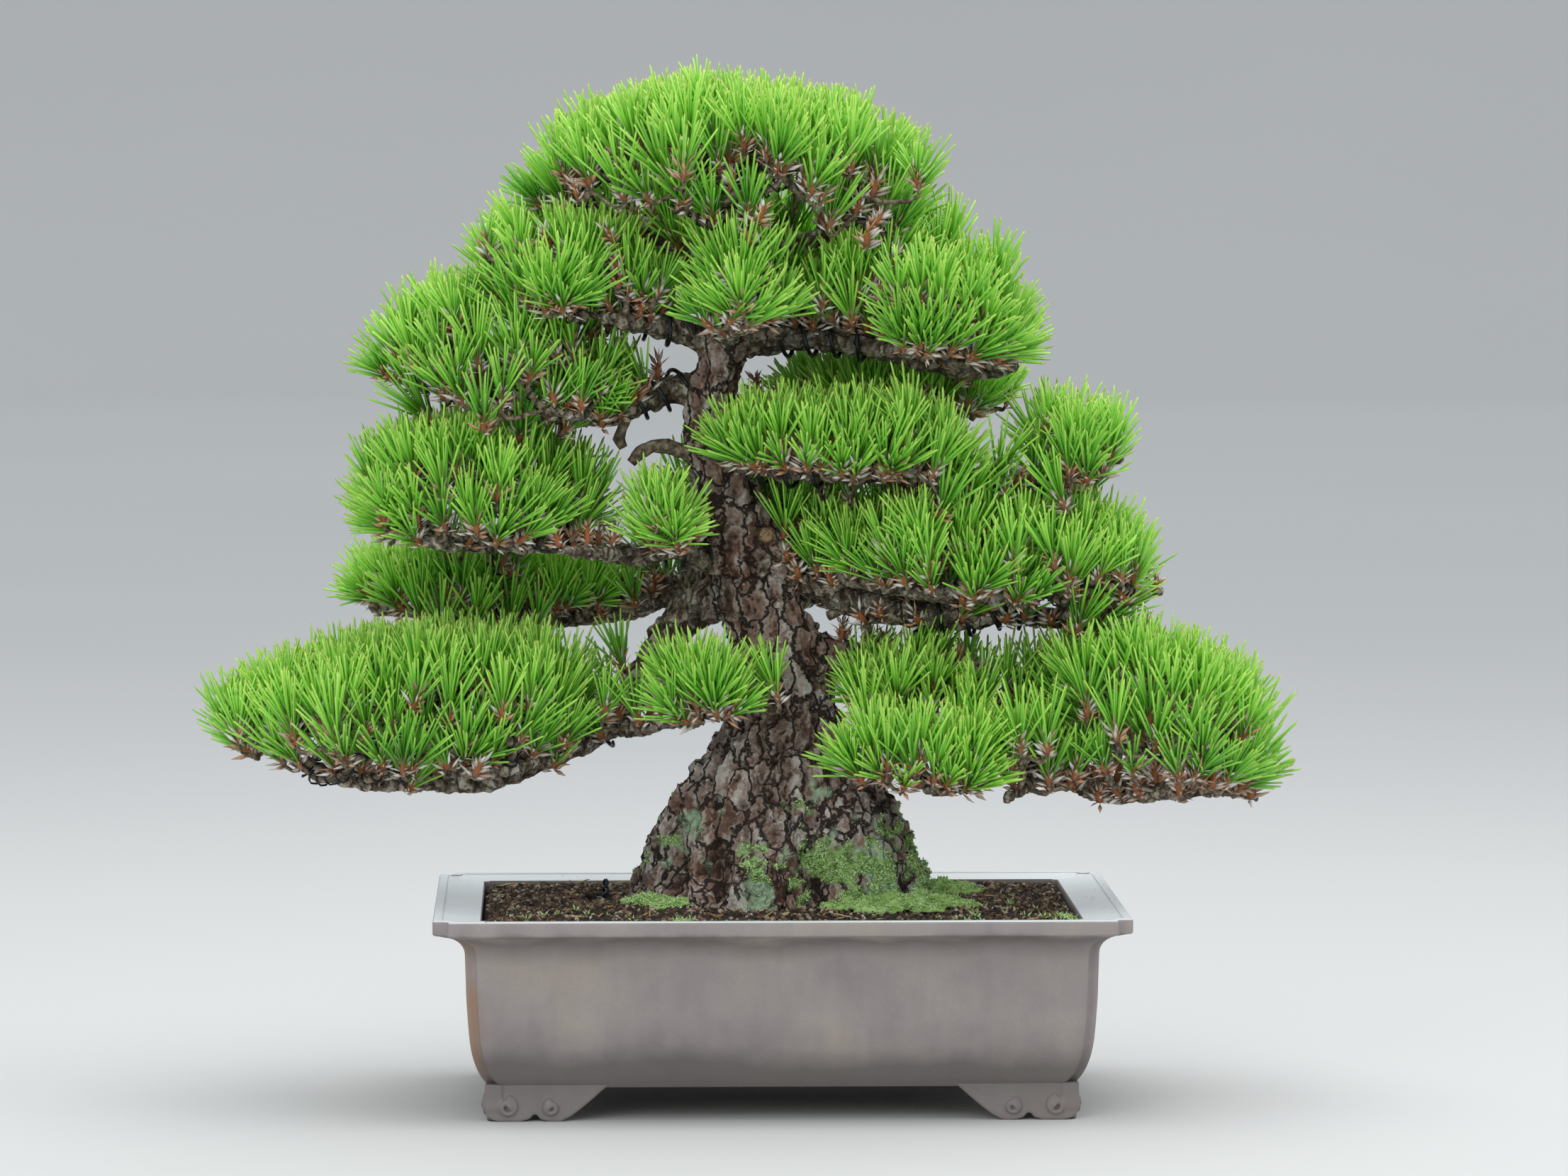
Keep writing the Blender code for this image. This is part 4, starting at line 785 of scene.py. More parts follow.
def findShoots():  # shorter tufts, and spent buds, that sit right on the branches within the clouds
    mesh = wood.data
    spots, normals = scatterOn(mesh, shoots["spots"], shoots["seed"], stored(mesh, "limb") ** 4)
    rng = np.random.default_rng(shoots["seed"])
    lots = rng.random(len(spots))
    jitter = rng.normal(0, 1, (len(spots), 3))
    search = kdTreeOf([tuft["base"] for tuft in found])
    kept, tuftsHere, spent = [], [], []
    for i, (p, n) in enumerate(zip(spots, normals)):
        p, n = Vector(p), Vector(n)
        if any((p - q).length < shoots["spacing"] for q in kept) or search.find(p)[2] < shoots["fromTuft"]:
            continue
        owner = nearestCloud(cloudTrees, p)
        if cloudTrees[owner].find_nearest(p)[3] > shoots["reach"]:
            continue
        if n.z < -0.2 and n.y > 0:
            continue
        kept.append(p)
        outward = Vector((p.x - middle.x, p.y - middle.y, 0)).normalized()
        axis = n * 0.45 + Vector((0, 0, 0.8)) + outward * 0.2 + Vector(jitter[i]) * 0.12
        axis.normalize()
        hit = woodTree.ray_cast(p + n * 3 * mm, axis, 30 * mm)[0]
        base = p + n * 3.5 * mm
        if n.z < -0.55:
            continue
        if lots[i] < shoots["share"] and hit is None:
            tuftsHere.append({"base": base, "axis": axis, "size": 0.74 + 0.24 * lots[i] / shoots["share"],
                              "cloud": owner, "height": 0.3})
        else:
            spent.append({"base": base, "axis": (n * 0.6 + Vector((0, 0, 0.8))).normalized()})
    return tuftsHere, spent


fills = [  # tufts that close a pad where its clouds stand apart: x, y, z, reach x, y, z in mm, how many
    (142, -78, 228, 34, 26, 12, 13),
    (96, -52, 254, 42, 22, 12, 9),
    (170, -70, 214, 22, 26, 8, 6),
    (-6, -60, 262, 12, 14, 8, 2),
    (-112, 4, 516, 44, 34, 16, 12),
    (48, 12, 520, 66, 34, 16, 16),
    (128, -14, 522, 22, 40, 14, 11),
    (108, 0, 548, 16, 30, 8, 4),
]


def fillTufts():
    rng = np.random.default_rng(23)
    made = []
    for x, y, z, reachX, reachY, reachZ, many in fills:
        spots = []
        for _ in range(900):
            shift = rng.uniform(-1, 1, 3)
            base = middle + Vector((x + shift[0] * reachX, y + shift[1] * reachY, z + shift[2] * reachZ)) * mm
            if len(spots) >= many or any((base - q).length < 15 * mm for q in spots):
                continue
            if woodTree.find_nearest(base)[3] < 3 * mm:
                continue
            axis = Vector((rng.normal(0, 0.22), rng.normal(-0.12, 0.18), 1)).normalized()
            spots.append(base)
            made.append({"base": base, "axis": axis, "size": rng.uniform(0.85, 1.02),
                         "cloud": nearestCloud(cloudTrees, base), "height": 0.6})
    return made


found += fillTufts()


topUps = {"grid": 9 * mm, "apart": 12.5 * mm, "layer": 40 * mm, "least": 0.5, "offWood": 3 * mm, "seed": 29}


def topUpTufts():  # upright tufts where a cloud would show bare from above
    rng = np.random.default_rng(topUps["seed"])
    tips = [t["base"] + t["axis"] * tufts["needle"] * t["size"] for t in found]
    down = Vector((0, 0, -1))
    made = []
    for node in clouds:
        low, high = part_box(node)
        grid = [(x, y) for x in np.arange(low.x, high.x, topUps["grid"])
                for y in np.arange(low.y, high.y, topUps["grid"])]
        for x, y in rng.permutation(grid):
            top, normal, _, _ = cloudTrees[node].ray_cast(Vector((x, y, high.z + 10 * mm)), down)
            if top is None or normal.z < 0.5:
                continue
            under = cloudTrees[node].ray_cast(top + down * mm, down)[0]
            if under is None or any(math.hypot(t.x - x, t.y - y) < topUps["apart"]
                                    and abs(t.z - top.z) < topUps["layer"] for t in tips):
                continue
            size = min((top.z - under.z - tufts["clearance"]) / tufts["needle"], 1) * rng.uniform(0.85, 1)
            base = top + down * tufts["needle"] * size
            if size < topUps["least"] or woodTree.find_nearest(base)[3] < topUps["offWood"]:
                continue
            axis = Vector((rng.normal(0, 0.12), rng.normal(0, 0.12), 1)).normalized()
            tips.append(top)
            made.append({"base": base, "axis": axis, "size": size, "cloud": node, "height": 0.6})
    stage(f"{len(made)} tufts to close the clouds from above")
    return made


found += topUpTufts()

shootTufts, spentBuds = findShoots()
for tuft in found + shootTufts:  # none may reach far past the CAD model's sides
    reach = tufts["needle"] * tuft["size"]
    for k in (0, 1):
        least = (cadBox[0][k] - tufts["pastSides"] - tuft["base"][k]) / reach + tufts["halfSpread"]
        most = (cadBox[1][k] + tufts["pastSides"] - tuft["base"][k]) / reach - tufts["halfSpread"]
        tuft["axis"][k] = max(min(tuft["axis"][k], most), least)
    tuft["axis"].normalize()
stage(f"{len(shootTufts)} shoots on the branches and {len(spentBuds)} spent buds")


def needleShape():  # unit length up z, three-sided, sheath to tip
    rings = [(0.0, 1.0), (0.5, 1.0), (0.94, 0.82)]
    points, along = [], []
    for share, width in rings:
        for k in range(3):
            angle = 2 * math.pi * k / 3
            points.append((width * tufts["thickness"] / 2 * math.cos(angle) + tufts["bend"] * share ** 2,
                           width * tufts["thickness"] / 2 * math.sin(angle), share))
            along.append(share)
    points.append((tufts["bend"], 0, 1))
    along.append(1)
    last = (len(rings) - 1) * 3
    faces = bands(len(rings), 3) + [(last + k, last + (k + 1) % 3, last + 3) for k in range(3)] + [(2, 1, 0)]
    mesh = meshOf("needle_shape", points, faces)
    store(mesh, "along", along)
    return newObject("needle_shape", mesh)


def leafShape(name, width, thickness, bend):  # a kite-shaped scale of unit length
    points = [(0, 0, 0), (bend * 0.3 + thickness / 2, 0, 0.5), (bend * 0.3, width / 2, 0.5),
              (bend * 0.3 - thickness / 2, 0, 0.5), (bend * 0.3, -width / 2, 0.5), (bend, 0, 1)]
    faces = []
    for k in range(4):
        here, after = 1 + k, 1 + (k + 1) % 4
        faces += [(0, after, here), (5, here, after)]
    mesh = meshOf(name, points, faces)
    store(mesh, "along", [0, 0.5, 0.5, 0.5, 0.5, 1])
    return newObject(name, mesh)


def newTree(name, **kinds):  # a geometry tree with these named inputs
    tree = bpy.data.node_groups.new(name, "GeometryNodeTree")
    tree.interface.new_socket("Geometry", in_out="OUTPUT", socket_type="NodeSocketGeometry")
    for kind, labels in kinds.items():
        for label in labels:
            tree.interface.new_socket(label, in_out="INPUT", socket_type="NodeSocket" + kind)
    return tree, addNode(tree, "NodeGroupInput").outputs


def aimed(tree, axis, *turns):  # stands a shape on its axis, then makes each turn
    turned = addNode(tree, "FunctionNodeAlignRotationToVector", {"Vector": axis}, axis="Z").outputs[0]
    for turn in turns:
        local = addNode(tree, "FunctionNodeEulerToRotation", {0: turn}).outputs[0]
        turned = addNode(tree, "FunctionNodeRotateRotation", {0: turned, 1: local}, rotation_space="LOCAL").outputs[0]
    return turned


def setOut(tree, given, points, rotation, scale, shade):  # copies of the shape, each with its own shade, made real
    shape = addNode(tree, "GeometryNodeObjectInfo", {"Object": given["Shape"]}).outputs["Geometry"]
    copies = addNode(tree, "GeometryNodeInstanceOnPoints", {
        "Points": points, "Instance": shape, "Rotation": rotation, "Scale": scale})
    marked = addNode(tree, "GeometryNodeStoreNamedAttribute", {
        "Geometry": copies.outputs[0], "Name": "shade", "Value": shade}, data_type="FLOAT", domain="INSTANCE")
    real = addNode(tree, "GeometryNodeRealizeInstances", {"Geometry": marked.outputs[0]})
    done = addNode(tree, "GeometryNodeSetMaterial", {"Geometry": real.outputs[0], "Material": given["Finish"]})
    addNode(tree, "NodeGroupOutput", {"Geometry": done.outputs[0]})


def fanTree(name):
    # Fans copies of a shape about each point's "axis": needles round a shoot, scales round a bud
    tree, given = newTree(name, Geometry=["Geometry"], Object=["Shape"], Int=["Copies", "Seed"], Material=["Finish"],
                          Float=["Least Angle", "Most Angle", "Shoot Length", "Length", "Least Size", "Most Size",
                                 "Shade Range"])
    size, axis, tint = (addNode(tree, "GeometryNodeInputNamedAttribute", {"Name": label}, data_type=kind).outputs[0]
                        for label, kind in (("size", "FLOAT"), ("axis", "FLOAT_VECTOR"), ("tint", "FLOAT")))
    rows = addNode(tree, "GeometryNodeDuplicateElements", {"Geometry": given["Geometry"], "Amount": given["Copies"]},
                   domain="POINT")
    order = addNode(tree, "ShaderNodeMath", {0: rows.outputs["Duplicate Index"], 1: 0.5}, operation="ADD")
    share = addNode(tree, "ShaderNodeMath", {0: order.outputs[0], 1: given["Copies"]}, operation="DIVIDE").outputs[0]
    root = addNode(tree, "ShaderNodeMath", {0: share, 1: 0.55}, operation="POWER").outputs[0]
    polar = addNode(tree, "ShaderNodeMapRange", {"Value": root, 3: given["Least Angle"], 4: given["Most Angle"]})
    wobble = addNode(tree, "ShaderNodeMath", {0: given["Seed"], 1: 5.0}, operation="ADD").outputs[0]
    shake, loose, lengths, lot = (
        addNode(tree, "FunctionNodeRandomValue", {2: least, 3: most, "Seed": seed}, data_type="FLOAT").outputs[1]
        for least, most, seed in ((-0.09, 0.09, given["Seed"]), (-0.5, 0.5, wobble),
                                  (given["Least Size"], given["Most Size"], wobble), (-1.0, 1.0, 3)))
    tilt = addNode(tree, "ShaderNodeMath", {0: polar.outputs[0], 1: shake}, operation="ADD").outputs[0]
    goldenAngle, tintTurn, twist = 2.39996, 39.0, 4.0
    golden = addNode(tree, "ShaderNodeMath", {0: rows.outputs["Duplicate Index"], 1: goldenAngle, 2: loose},
                     operation="MULTIPLY_ADD").outputs[0]
    turned = addNode(tree, "ShaderNodeMath", {0: tint, 1: tintTurn, 2: golden}, operation="MULTIPLY_ADD").outputs[0]
    angles = addNode(tree, "ShaderNodeCombineXYZ", {"Y": tilt, "Z": turned}).outputs[0]
    spin = addNode(tree, "ShaderNodeCombineXYZ", {"Z": product(tree, loose, twist)}).outputs[0]
    left = addNode(tree, "ShaderNodeMath", {0: 1.0, 1: share}, operation="SUBTRACT").outputs[0]
    climb = product(tree, left, given["Shoot Length"])
    offset = addNode(tree, "ShaderNodeVectorMath", {0: axis, "Scale": climb}, operation="SCALE").outputs[0]
    placed = addNode(tree, "GeometryNodeSetPosition", {"Geometry": rows.outputs["Geometry"], "Offset": offset})
    tall = product(tree, lengths, given["Length"], size)
    scale = addNode(tree, "ShaderNodeCombineXYZ", {"X": 1.0, "Y": 1.0, "Z": tall}).outputs[0]
    shade = addNode(tree, "ShaderNodeMath", {0: lot, 1: given["Shade Range"], 2: tint}, operation="MULTIPLY_ADD",
                    use_clamp=True).outputs[0]
    setOut(tree, given, placed.outputs[0], aimed(tree, axis, angles, spin), scale, shade)
    return tree


def grown(name, tree, points, axes, sizes, tints, values):
    # runs a tree on points that carry these attributes, and keeps the plain mesh
    mesh = bpy.data.meshes.new(name)
    mesh.from_pydata([tuple(p) for p in points], [], [])
    store(mesh, "axis", [tuple(a) for a in axes], "FLOAT_VECTOR")
    store(mesh, "size", sizes)
    store(mesh, "tint", tints)
    piece = newObject(name, mesh)
    modifier = piece.modifiers.new(name, "NODES")
    modifier.node_group = tree
    for item in tree.interface.items_tree:
        if item.in_out == "INPUT" and item.name in values:
            modifier[item.identifier] = values[item.name]
    mesh = settle(piece).data
    mesh.name = name
    for attribute in ("axis", "size", "tint"):
        if attribute in mesh.attributes:
            mesh.attributes.remove(mesh.attributes[attribute])
    mesh.shade_smooth()
    return piece


def makeNeedles():
    tree = fanTree("fan_round_axis")
    shape = needleShape()
    rng = np.random.default_rng(5)
    tops = {node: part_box(node)[1].z for node in clouds}
    for node in clouds:
        mine = [t for t in found + shootTufts if t["cloud"] == node and not t.get("bare")]
        # each tuft's tint is raised for tufts that face up and stand near their cloud's top and lowered deep inside it,
        # plus a random spread: painted light and shade
        tints = np.clip([0.42 + 0.32 * t["height"] - 2.2 * (tops[node] - t["base"].z - 0.05)
                         + rng.normal(0, 0.13) for t in mine], 0.0, 1.0)
        bases, axes, sizes = ([t[key] for t in mine] for key in ("base", "axis", "size"))
        piece = grown("needles_" + node[8:], tree, bases, axes, sizes, tints, {
            "Shape": shape, "Copies": tufts["needles"], "Least Angle": 0.05,
            "Most Angle": math.radians(tufts["spread"]), "Shoot Length": tufts["candle"],
            "Length": tufts["needle"] - tufts["candle"] * 0.3, "Least Size": 0.78, "Most Size": 1.06,
            "Shade Range": 0.28, "Seed": tufts["seed"], "Finish": finish["needle"]})
        ride(piece, "pine_needles", node)
    bpy.data.objects.remove(shape)
    return tree


fan = makeNeedles()
stage("needles")

buds = {"scales": 17, "length": 12 * mm, "width": 2.9 * mm, "thickness": 0.9 * mm, "bend": 2.0 * mm,
        "shoot": 13 * mm, "angles": (0.12, 1.12), "parting": 0.4}  # parted at this height in metres


def makeBuds():
    shape = leafShape("scale_shape", buds["width"], buds["thickness"], buds["bend"])
    rng = np.random.default_rng(8)
    every = found + shootTufts + spentBuds
    for name, low, high in (("bud_scales_lower", 0, buds["parting"]), ("bud_scales_upper", buds["parting"], 1)):
        mine = [t for t in every if low <= t["base"].z < high]
        sizes, tints = rng.uniform(0.85, 1.25, len(mine)), rng.uniform(0.3, 0.7, len(mine))
        bases = [t["base"] - t["axis"] * 4 * mm for t in mine]
        piece = grown(name, fan, bases, [t["axis"] for t in mine], sizes, tints, {
            "Shape": shape, "Copies": buds["scales"], "Least Angle": buds["angles"][0],
            "Most Angle": buds["angles"][1], "Shoot Length": buds["shoot"], "Length": buds["length"],
            "Least Size": 0.6, "Most Size": 1.15,
            "Shade Range": 0.42, "Seed": 4, "Finish": finish["bud"]})
        ride(piece, "pine_bark")
        stage(f"{name}, {len(mine)} buds, {len(piece.data.polygons)} faces")
    bpy.data.objects.remove(shape)


makeBuds()
stage("bud scales")

# ---- twigs from the tufts back to the branches

twigs = {"tip": 1.3 * mm, "bud": 2.5 * mm, "most": 3.4 * mm, "sides": 5, "steps": 6,
         "wire": 0.75 * mm, "pitch": 7.5 * mm, "wiredFrom": 3}


def makeTwigs():
    rng = np.random.default_rng(21)
    order = sorted(range(len(found)), key=lambda i: woodTree.find_nearest(found[i]["base"])[3])
    spots, owners = [], []
    search = None
    parents, joins, lines = {}, {}, {}
    pending = 0
    for count, i in enumerate(order):
        base, axis = found[i]["base"], found[i]["axis"]
        place, _, _, distance = woodTree.find_nearest(base)
        parent = None
        if count and (search is None or pending > 12):
            search = kdTreeOf(spots)
            pending = 0
        if search:
            near, index, gap = search.find(base)
            if gap < distance * 0.92:
                place, distance, parent = near, gap, owners[index]
        pending += 1
        parents[i] = parent
        joins[i] = place
        sag = Vector((0, 0, -min(distance * 0.16, 6 * mm)))
        a, d = place, base - axis * 2 * mm
        b = a.lerp(d, 0.35) + sag
        c = d - axis * min(distance * 0.4, 14 * mm)
        line = []
        for k in range(twigs["steps"]):
            t = k / (twigs["steps"] - 1)
            line.append(a * (1 - t) ** 3 + b * 3 * t * (1 - t) ** 2 + c * 3 * t * t * (1 - t) + d * t ** 3)
        lines[i] = line
        for spot in line[2:]:
            spots.append(spot)
            owners.append(i)
    weight = {i: 1 for i in order}
    for i in reversed(order):
        if parents[i] is not None:
            weight[parents[i]] += weight[i]
    paths, wires = [], []
    for i in order:
        thick = min(twigs["tip"] * weight[i] ** 0.42, twigs["most"])
        line = lines[i]
        path = []
        for k, spot in enumerate(line):
            t = k / (len(line) - 1)
            knob = 1 + rng.uniform(-0.18, 0.28)
            wander = Vector(rng.normal(0, 0.6, 3)) * mm if 0 < k < len(line) - 1 else Vector()
            path.append((spot + wander, (thick + (twigs["tip"] - thick) * t * 0.7) * knob, 0.0))
        axis = found[i]["axis"]
        path += [(found[i]["base"] + axis * reach * mm, twigs["bud"] * width, value)
                 for reach, width, value in ((1, 0.9, 0.7), (5, 1, 1.0), (11, 0.4, 1.0))]
        paths.append(path)
        length = sum((q - p).length for p, q in zip(line, line[1:]))
        if weight[i] >= twigs["wiredFrom"] and length > 16 * mm:
            wires.append((line, thick, length))
    for shoot in shootTufts + spentBuds:
        base, axis = shoot["base"], shoot["axis"]
        place = woodTree.find_nearest(base)[0]
        paths.append([(place, 2.4 * mm, 0.0), (base + axis * 1 * mm, twigs["bud"], 0.8),
                      (base + axis * 5 * mm, twigs["bud"], 1.0), (base + axis * 10 * mm, twigs["bud"] * 0.4, 1.0)])
    mesh = tubes("twigs", paths, twigs["sides"], "bud")
    ride(newObject("twigs", mesh, finish["twig"]), "pine_bark")
    coils = []
    for line, thick, length in wires:
        turns = length * 0.86 / twigs["pitch"]
        steps = max(8, int(turns * 8))
        phase = rng.uniform(0, 6.28)
        coil = []
        lead = (line[-1] - line[0]).normalized().orthogonal()
        for k in range(steps + 1):
            t = k / steps * 0.86 + 0.04
            place = t * (len(line) - 1)
            low = min(int(place), len(line) - 2)
            spot = line[low].lerp(line[low + 1], place - low)
            along = (line[low + 1] - line[low]).normalized()
            lead = (lead - along * lead.dot(along)).normalized()
            turn = Quaternion(along, phase + 2 * math.pi * turns * k / steps)
            coil.append((spot + turn @ lead * (thick * 1.05 + twigs["wire"] * 0.8), twigs["wire"], 0))
        coils.append(coil)
    if coils:
        ride(newObject("fine_wires", tubes("fine_wires", coils, 4), finish["wire"]), "training_wire")
    return len(coils)


stage(f"twigs, {makeTwigs()} of them wired")

stubs = {  # what was pruned long ago: x, y, z and radius in mm
    "left": [(-38, -2, 416, 7.5), (-50, -6, 421, 6), (-61, -8, 427, 4.8), (-72, -9, 431, 5.2), (-82, -10, 431, 4.2),
             (-90, -10, 427, 4.6), (-96, -10, 420, 3.4)],
    "hanging": [(-97, -8, 455, 3.2), (-100, -10, 448, 4.0), (-102, -12, 442, 3.2), (-104, -12, 436, 4.2),
                (-101, -12, 430, 3.0)],
    "hooked": [(34, -8, 319, 3.6), (43, -12, 323, 2.6), (51, -14, 322, 3.0), (58, -16, 317, 2.2), (60, -16, 310, 2.6),
               (56, -16, 305, 1.7)],
}


def makeStubs():
    paths = []
    for stub in stubs.values():
        ends = [(middle + Vector((x, y, z)) * mm, radius * mm) for x, y, z, radius in stub]
        path = []
        for (p, r), (q, t) in zip(ends, ends[1:]):
            path += [(p.lerp(q, k / 3), r + (t - r) * k / 3 + 0.5 * mm * noise.noise(p.lerp(q, k / 3) * 300), 0)
                     for k in range(3)]
        path.append((ends[-1][0], ends[-1][1], 0.25))
        paths.append(path)
    ride(newObject("old_stubs", tubes("old_stubs", paths, 12, "bud"), finish["twig"]), "pine_bark")


makeStubs()

# ---- the training wires

for node in sorted(n for n in nodes if n.startswith("wire_")):
    piece = mergedCopy(node + "_round", node)
    rounder = piece.modifiers.new("rounder", "SUBSURF")
    rounder.levels = rounder.render_levels = 1
    settle(piece)
    dress(piece.data, finish["wire"])
    ride(piece, "training_wire", node)
stage("training wires")

# ---- the pot

pot = {
    "width": potHigh.x - potLow.x, "depth": potHigh.y - potLow.y, "height": potHigh.z,
    "foot": 22 * mm, "band": 10 * mm, "overhang": 20.5 * mm, "lip": 31 * mm, "fall": 2.5 * mm,
    "bead": 6 * mm, "beadHeight": 0.9 * mm, "floor": 10 * mm, "notch": 10 * mm, "wallNotch": 7 * mm,
    "tuck": 15.5 * mm, "legThickness": 12 * mm, "frontLeg": 79 * mm, "sideLeg": 62 * mm,
    "drain": (95 * mm, 15 * mm), "rounding": 6, "feetTriangles": 90000,
}


def potRing(inset, z, notch, outer=2.6 * mm, inner=2.8 * mm):
    halfX, halfY = pot["width"] / 2 - inset, pot["depth"] / 2 - inset
    outer, inner = min(outer, notch * 0.42), min(inner, notch * 0.42)
    corner = []
    for x, y, radius, start, turn in (
        (halfX - outer, halfY - notch - outer, outer, 0, 90),
        (halfX - notch + inner, halfY - notch + inner, inner, 270, -90),
        (halfX - notch - outer, halfY - outer, outer, 0, 90),
    ):
        for k in range(pot["rounding"]):
            angle = math.radians(start + turn * k / (pot["rounding"] - 1))
            corner.append((x + radius * math.cos(angle), y + radius * math.sin(angle)))
    back = list(reversed(corner))
    ring = corner + [(-x, y) for x, y in back] + [(-x, -y) for x, y in corner] + [(x, -y) for x, y in back]
    return [middle + Vector((x, y, z)) for x, y in ring]


def potProfile():  # inset, height, notch: up the inside, over the lip and down outside
    top, foot, bead = pot["height"], pot["foot"], pot["bead"]
    floor = foot + pot["floor"]
    lip, notch = pot["lip"], pot["notch"]
    rows = [(lip + reach * mm, floor + rise * mm, pot["wallNotch"] / 2)
            for rise, reach in ((0, 12), (1.2, 9), (3, 6.6), (5.2, 4.2), (8, 2.4), (11.5, 0.9), (16, 0))]
    rows += [(lip - reach * mm, top - pot["fall"] - drop * mm, pot["wallNotch"] / 2)
             for reach, drop in ((0, 3), (0.2, 1), (0.6, 0.3), (1.6, 0))]
    rows += [(bead + 1.4 * mm, top - pot["beadHeight"] - 0.1 * mm, notch * 0.9),
             (bead + 0.5 * mm, top - pot["beadHeight"], notch * 0.9),
             (bead, top - 0.3 * mm, notch * 0.92), (bead - 0.7 * mm, top, notch * 0.93),
             (2.2 * mm, top, notch)]
    for k in range(1, 6):  # the rim's rounded upper edge
        angle = math.radians(90 * k / 5)
        rows.append((1.8 * mm * (1 - math.sin(angle)), top - 1.8 * mm * (1 - math.cos(angle)), notch))
    low = top - pot["band"]
    for k in range(5):
        angle = math.radians(90 * k / 4)
        rows.append((1.6 * mm * (1 - math.cos(angle)), low + 1.6 * mm * (1 - math.sin(angle)), notch))
    span = pot["overhang"] - 4 * mm
    rows.append((4 * mm, low - 0.4 * mm, notch * 0.85))
    for k in range(1, 9):  # the cove under the rim
        angle = math.radians(90 * k / 8)
        rows.append((4 * mm + span * math.sin(angle), low - 1 * mm - 13 * mm * (1 - math.cos(angle)),
                     pot["wallNotch"]))
    wall = [(pot["overhang"], low - 14 * mm), (pot["overhang"] + 0.5 * mm, foot + (top - foot) * 0.64),
            (pot["overhang"] + 1 * mm, foot + (top - foot) * 0.50), (pot["overhang"] + 3 * mm, foot + 30 * mm),
            (pot["overhang"] + 6 * mm, foot + 16 * mm), (pot["overhang"] + 10.5 * mm, foot + 6 * mm),
            (pot["overhang"] + pot["tuck"], foot)]
    insets, heights = np.array(wall).T
    for k in range(1, 25):
        t = k / 24 * (len(wall) - 1)
        j = min(int(t), len(wall) - 2)
        f = t - j
        past, nxt = max(j - 1, 0), min(j + 2, len(wall) - 1)
        row = []
        for values in (insets, heights):
            a, b, c, d = values[past], values[j], values[j + 1], values[nxt]
            row.append(b + 0.5 * f * (c - a + f * (2 * a - 5 * b + 4 * c - d + f * (3 * b - a - 3 * c + d))))
        rows.append((row[0], row[1], pot["wallNotch"]))
    rows.append((pot["overhang"] + pot["tuck"] + 1.2 * mm, foot, pot["wallNotch"]))
    return rows


def holeCutter(x, y, radius):
    bm = bmesh.new()
    bmesh.ops.create_cone(bm, cap_ends=True, segments=40, radius1=radius, radius2=radius, depth=40 * mm,
                          matrix=Matrix.Translation(middle + Vector((x, y, pot["foot"] + 5 * mm))))
    return newObject("hole", meshFrom("hole", bm))


def makePot():
    rings = [potRing(*row) for row in potProfile()]
    size = len(rings[0])
    faces = [(a, d, c, b) for a, b, c, d in bands(len(rings), size)]
    faces += [tuple(range(size)), tuple(reversed(range((len(rings) - 1) * size, len(rings) * size)))]
    shell = newObject("pot_shell", meshOf("pot_shell", [p for ring in rings for p in ring], faces))
    bm = bmesh.new()
    bm.from_mesh(shell.data)
    bmesh.ops.triangulate(bm, faces=[f for f in bm.faces if len(f.verts) > 4])
    bmesh.ops.recalc_face_normals(bm, faces=bm.faces)
    bm.to_mesh(shell.data)
    bm.free()
    cutters = []
    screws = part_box("tie_wire")
    holeX = screws[0].x - middle.x + 0.001
    reach, radius = pot["drain"]
    for side in (-1, 1):
        cutters.append(holeCutter(side * reach, 0, radius))
        for end in (-1, 1):
            cutters.append(holeCutter(side * abs(holeX), end * 26 * mm, 2.5 * mm))
    for cutter in cutters:
        boolean = shell.modifiers.new("hole", "BOOLEAN")
        boolean.operation = "DIFFERENCE"
        boolean.solver = "EXACT"
        boolean.object = cutter
    settle(shell)
    for cutter in cutters:
        bpy.data.objects.remove(cutter)
    shell.data.shade_smooth()
    shell.data.set_sharp_from_angle(angle=math.radians(32))
    dress(shell.data, finish["stoneware"])
    return ride(shell, "stoneware", "pot")


def legOutline(run):
    height = pot["foot"] + 2.5 * mm
    lobe, second = run * 0.39, run * 0.66
    return [(0, height), (0, 9 * mm), (1.6 * mm, 4 * mm), (4.5 * mm, 1.2 * mm), (9 * mm, 0), (lobe * 0.76, 0),
            (lobe * 0.95, 1.8 * mm), (lobe + 0.5 * mm, 4.6 * mm), (lobe + 2.5 * mm, 4.6 * mm),
            (lobe + 5 * mm, 1.6 * mm), (lobe + 10 * mm, 0), (second - 3 * mm, 0), (second + 4 * mm, 3.6 * mm),
            (run * 0.80, 9 * mm), (run * 0.89, 15 * mm), (run + 2 * mm, height)]


def scroll(centreX, centreZ, radius, direction, turns=1.35):
    # a raised spiral in the leg's own plane: x along the leg, z up, rolling in to a boss
    path = []
    for k in range(26):
        t = k / 25
        angle = math.pi * 0.5 - direction * 2 * math.pi * turns * t
        reach = radius * (1 - 0.82 * t)
        path.append((Vector((centreX + reach * math.cos(angle), 0, centreZ + reach * math.sin(angle))),
                     (1.4 + 1.7 * t * t) * mm, 0))
    return path


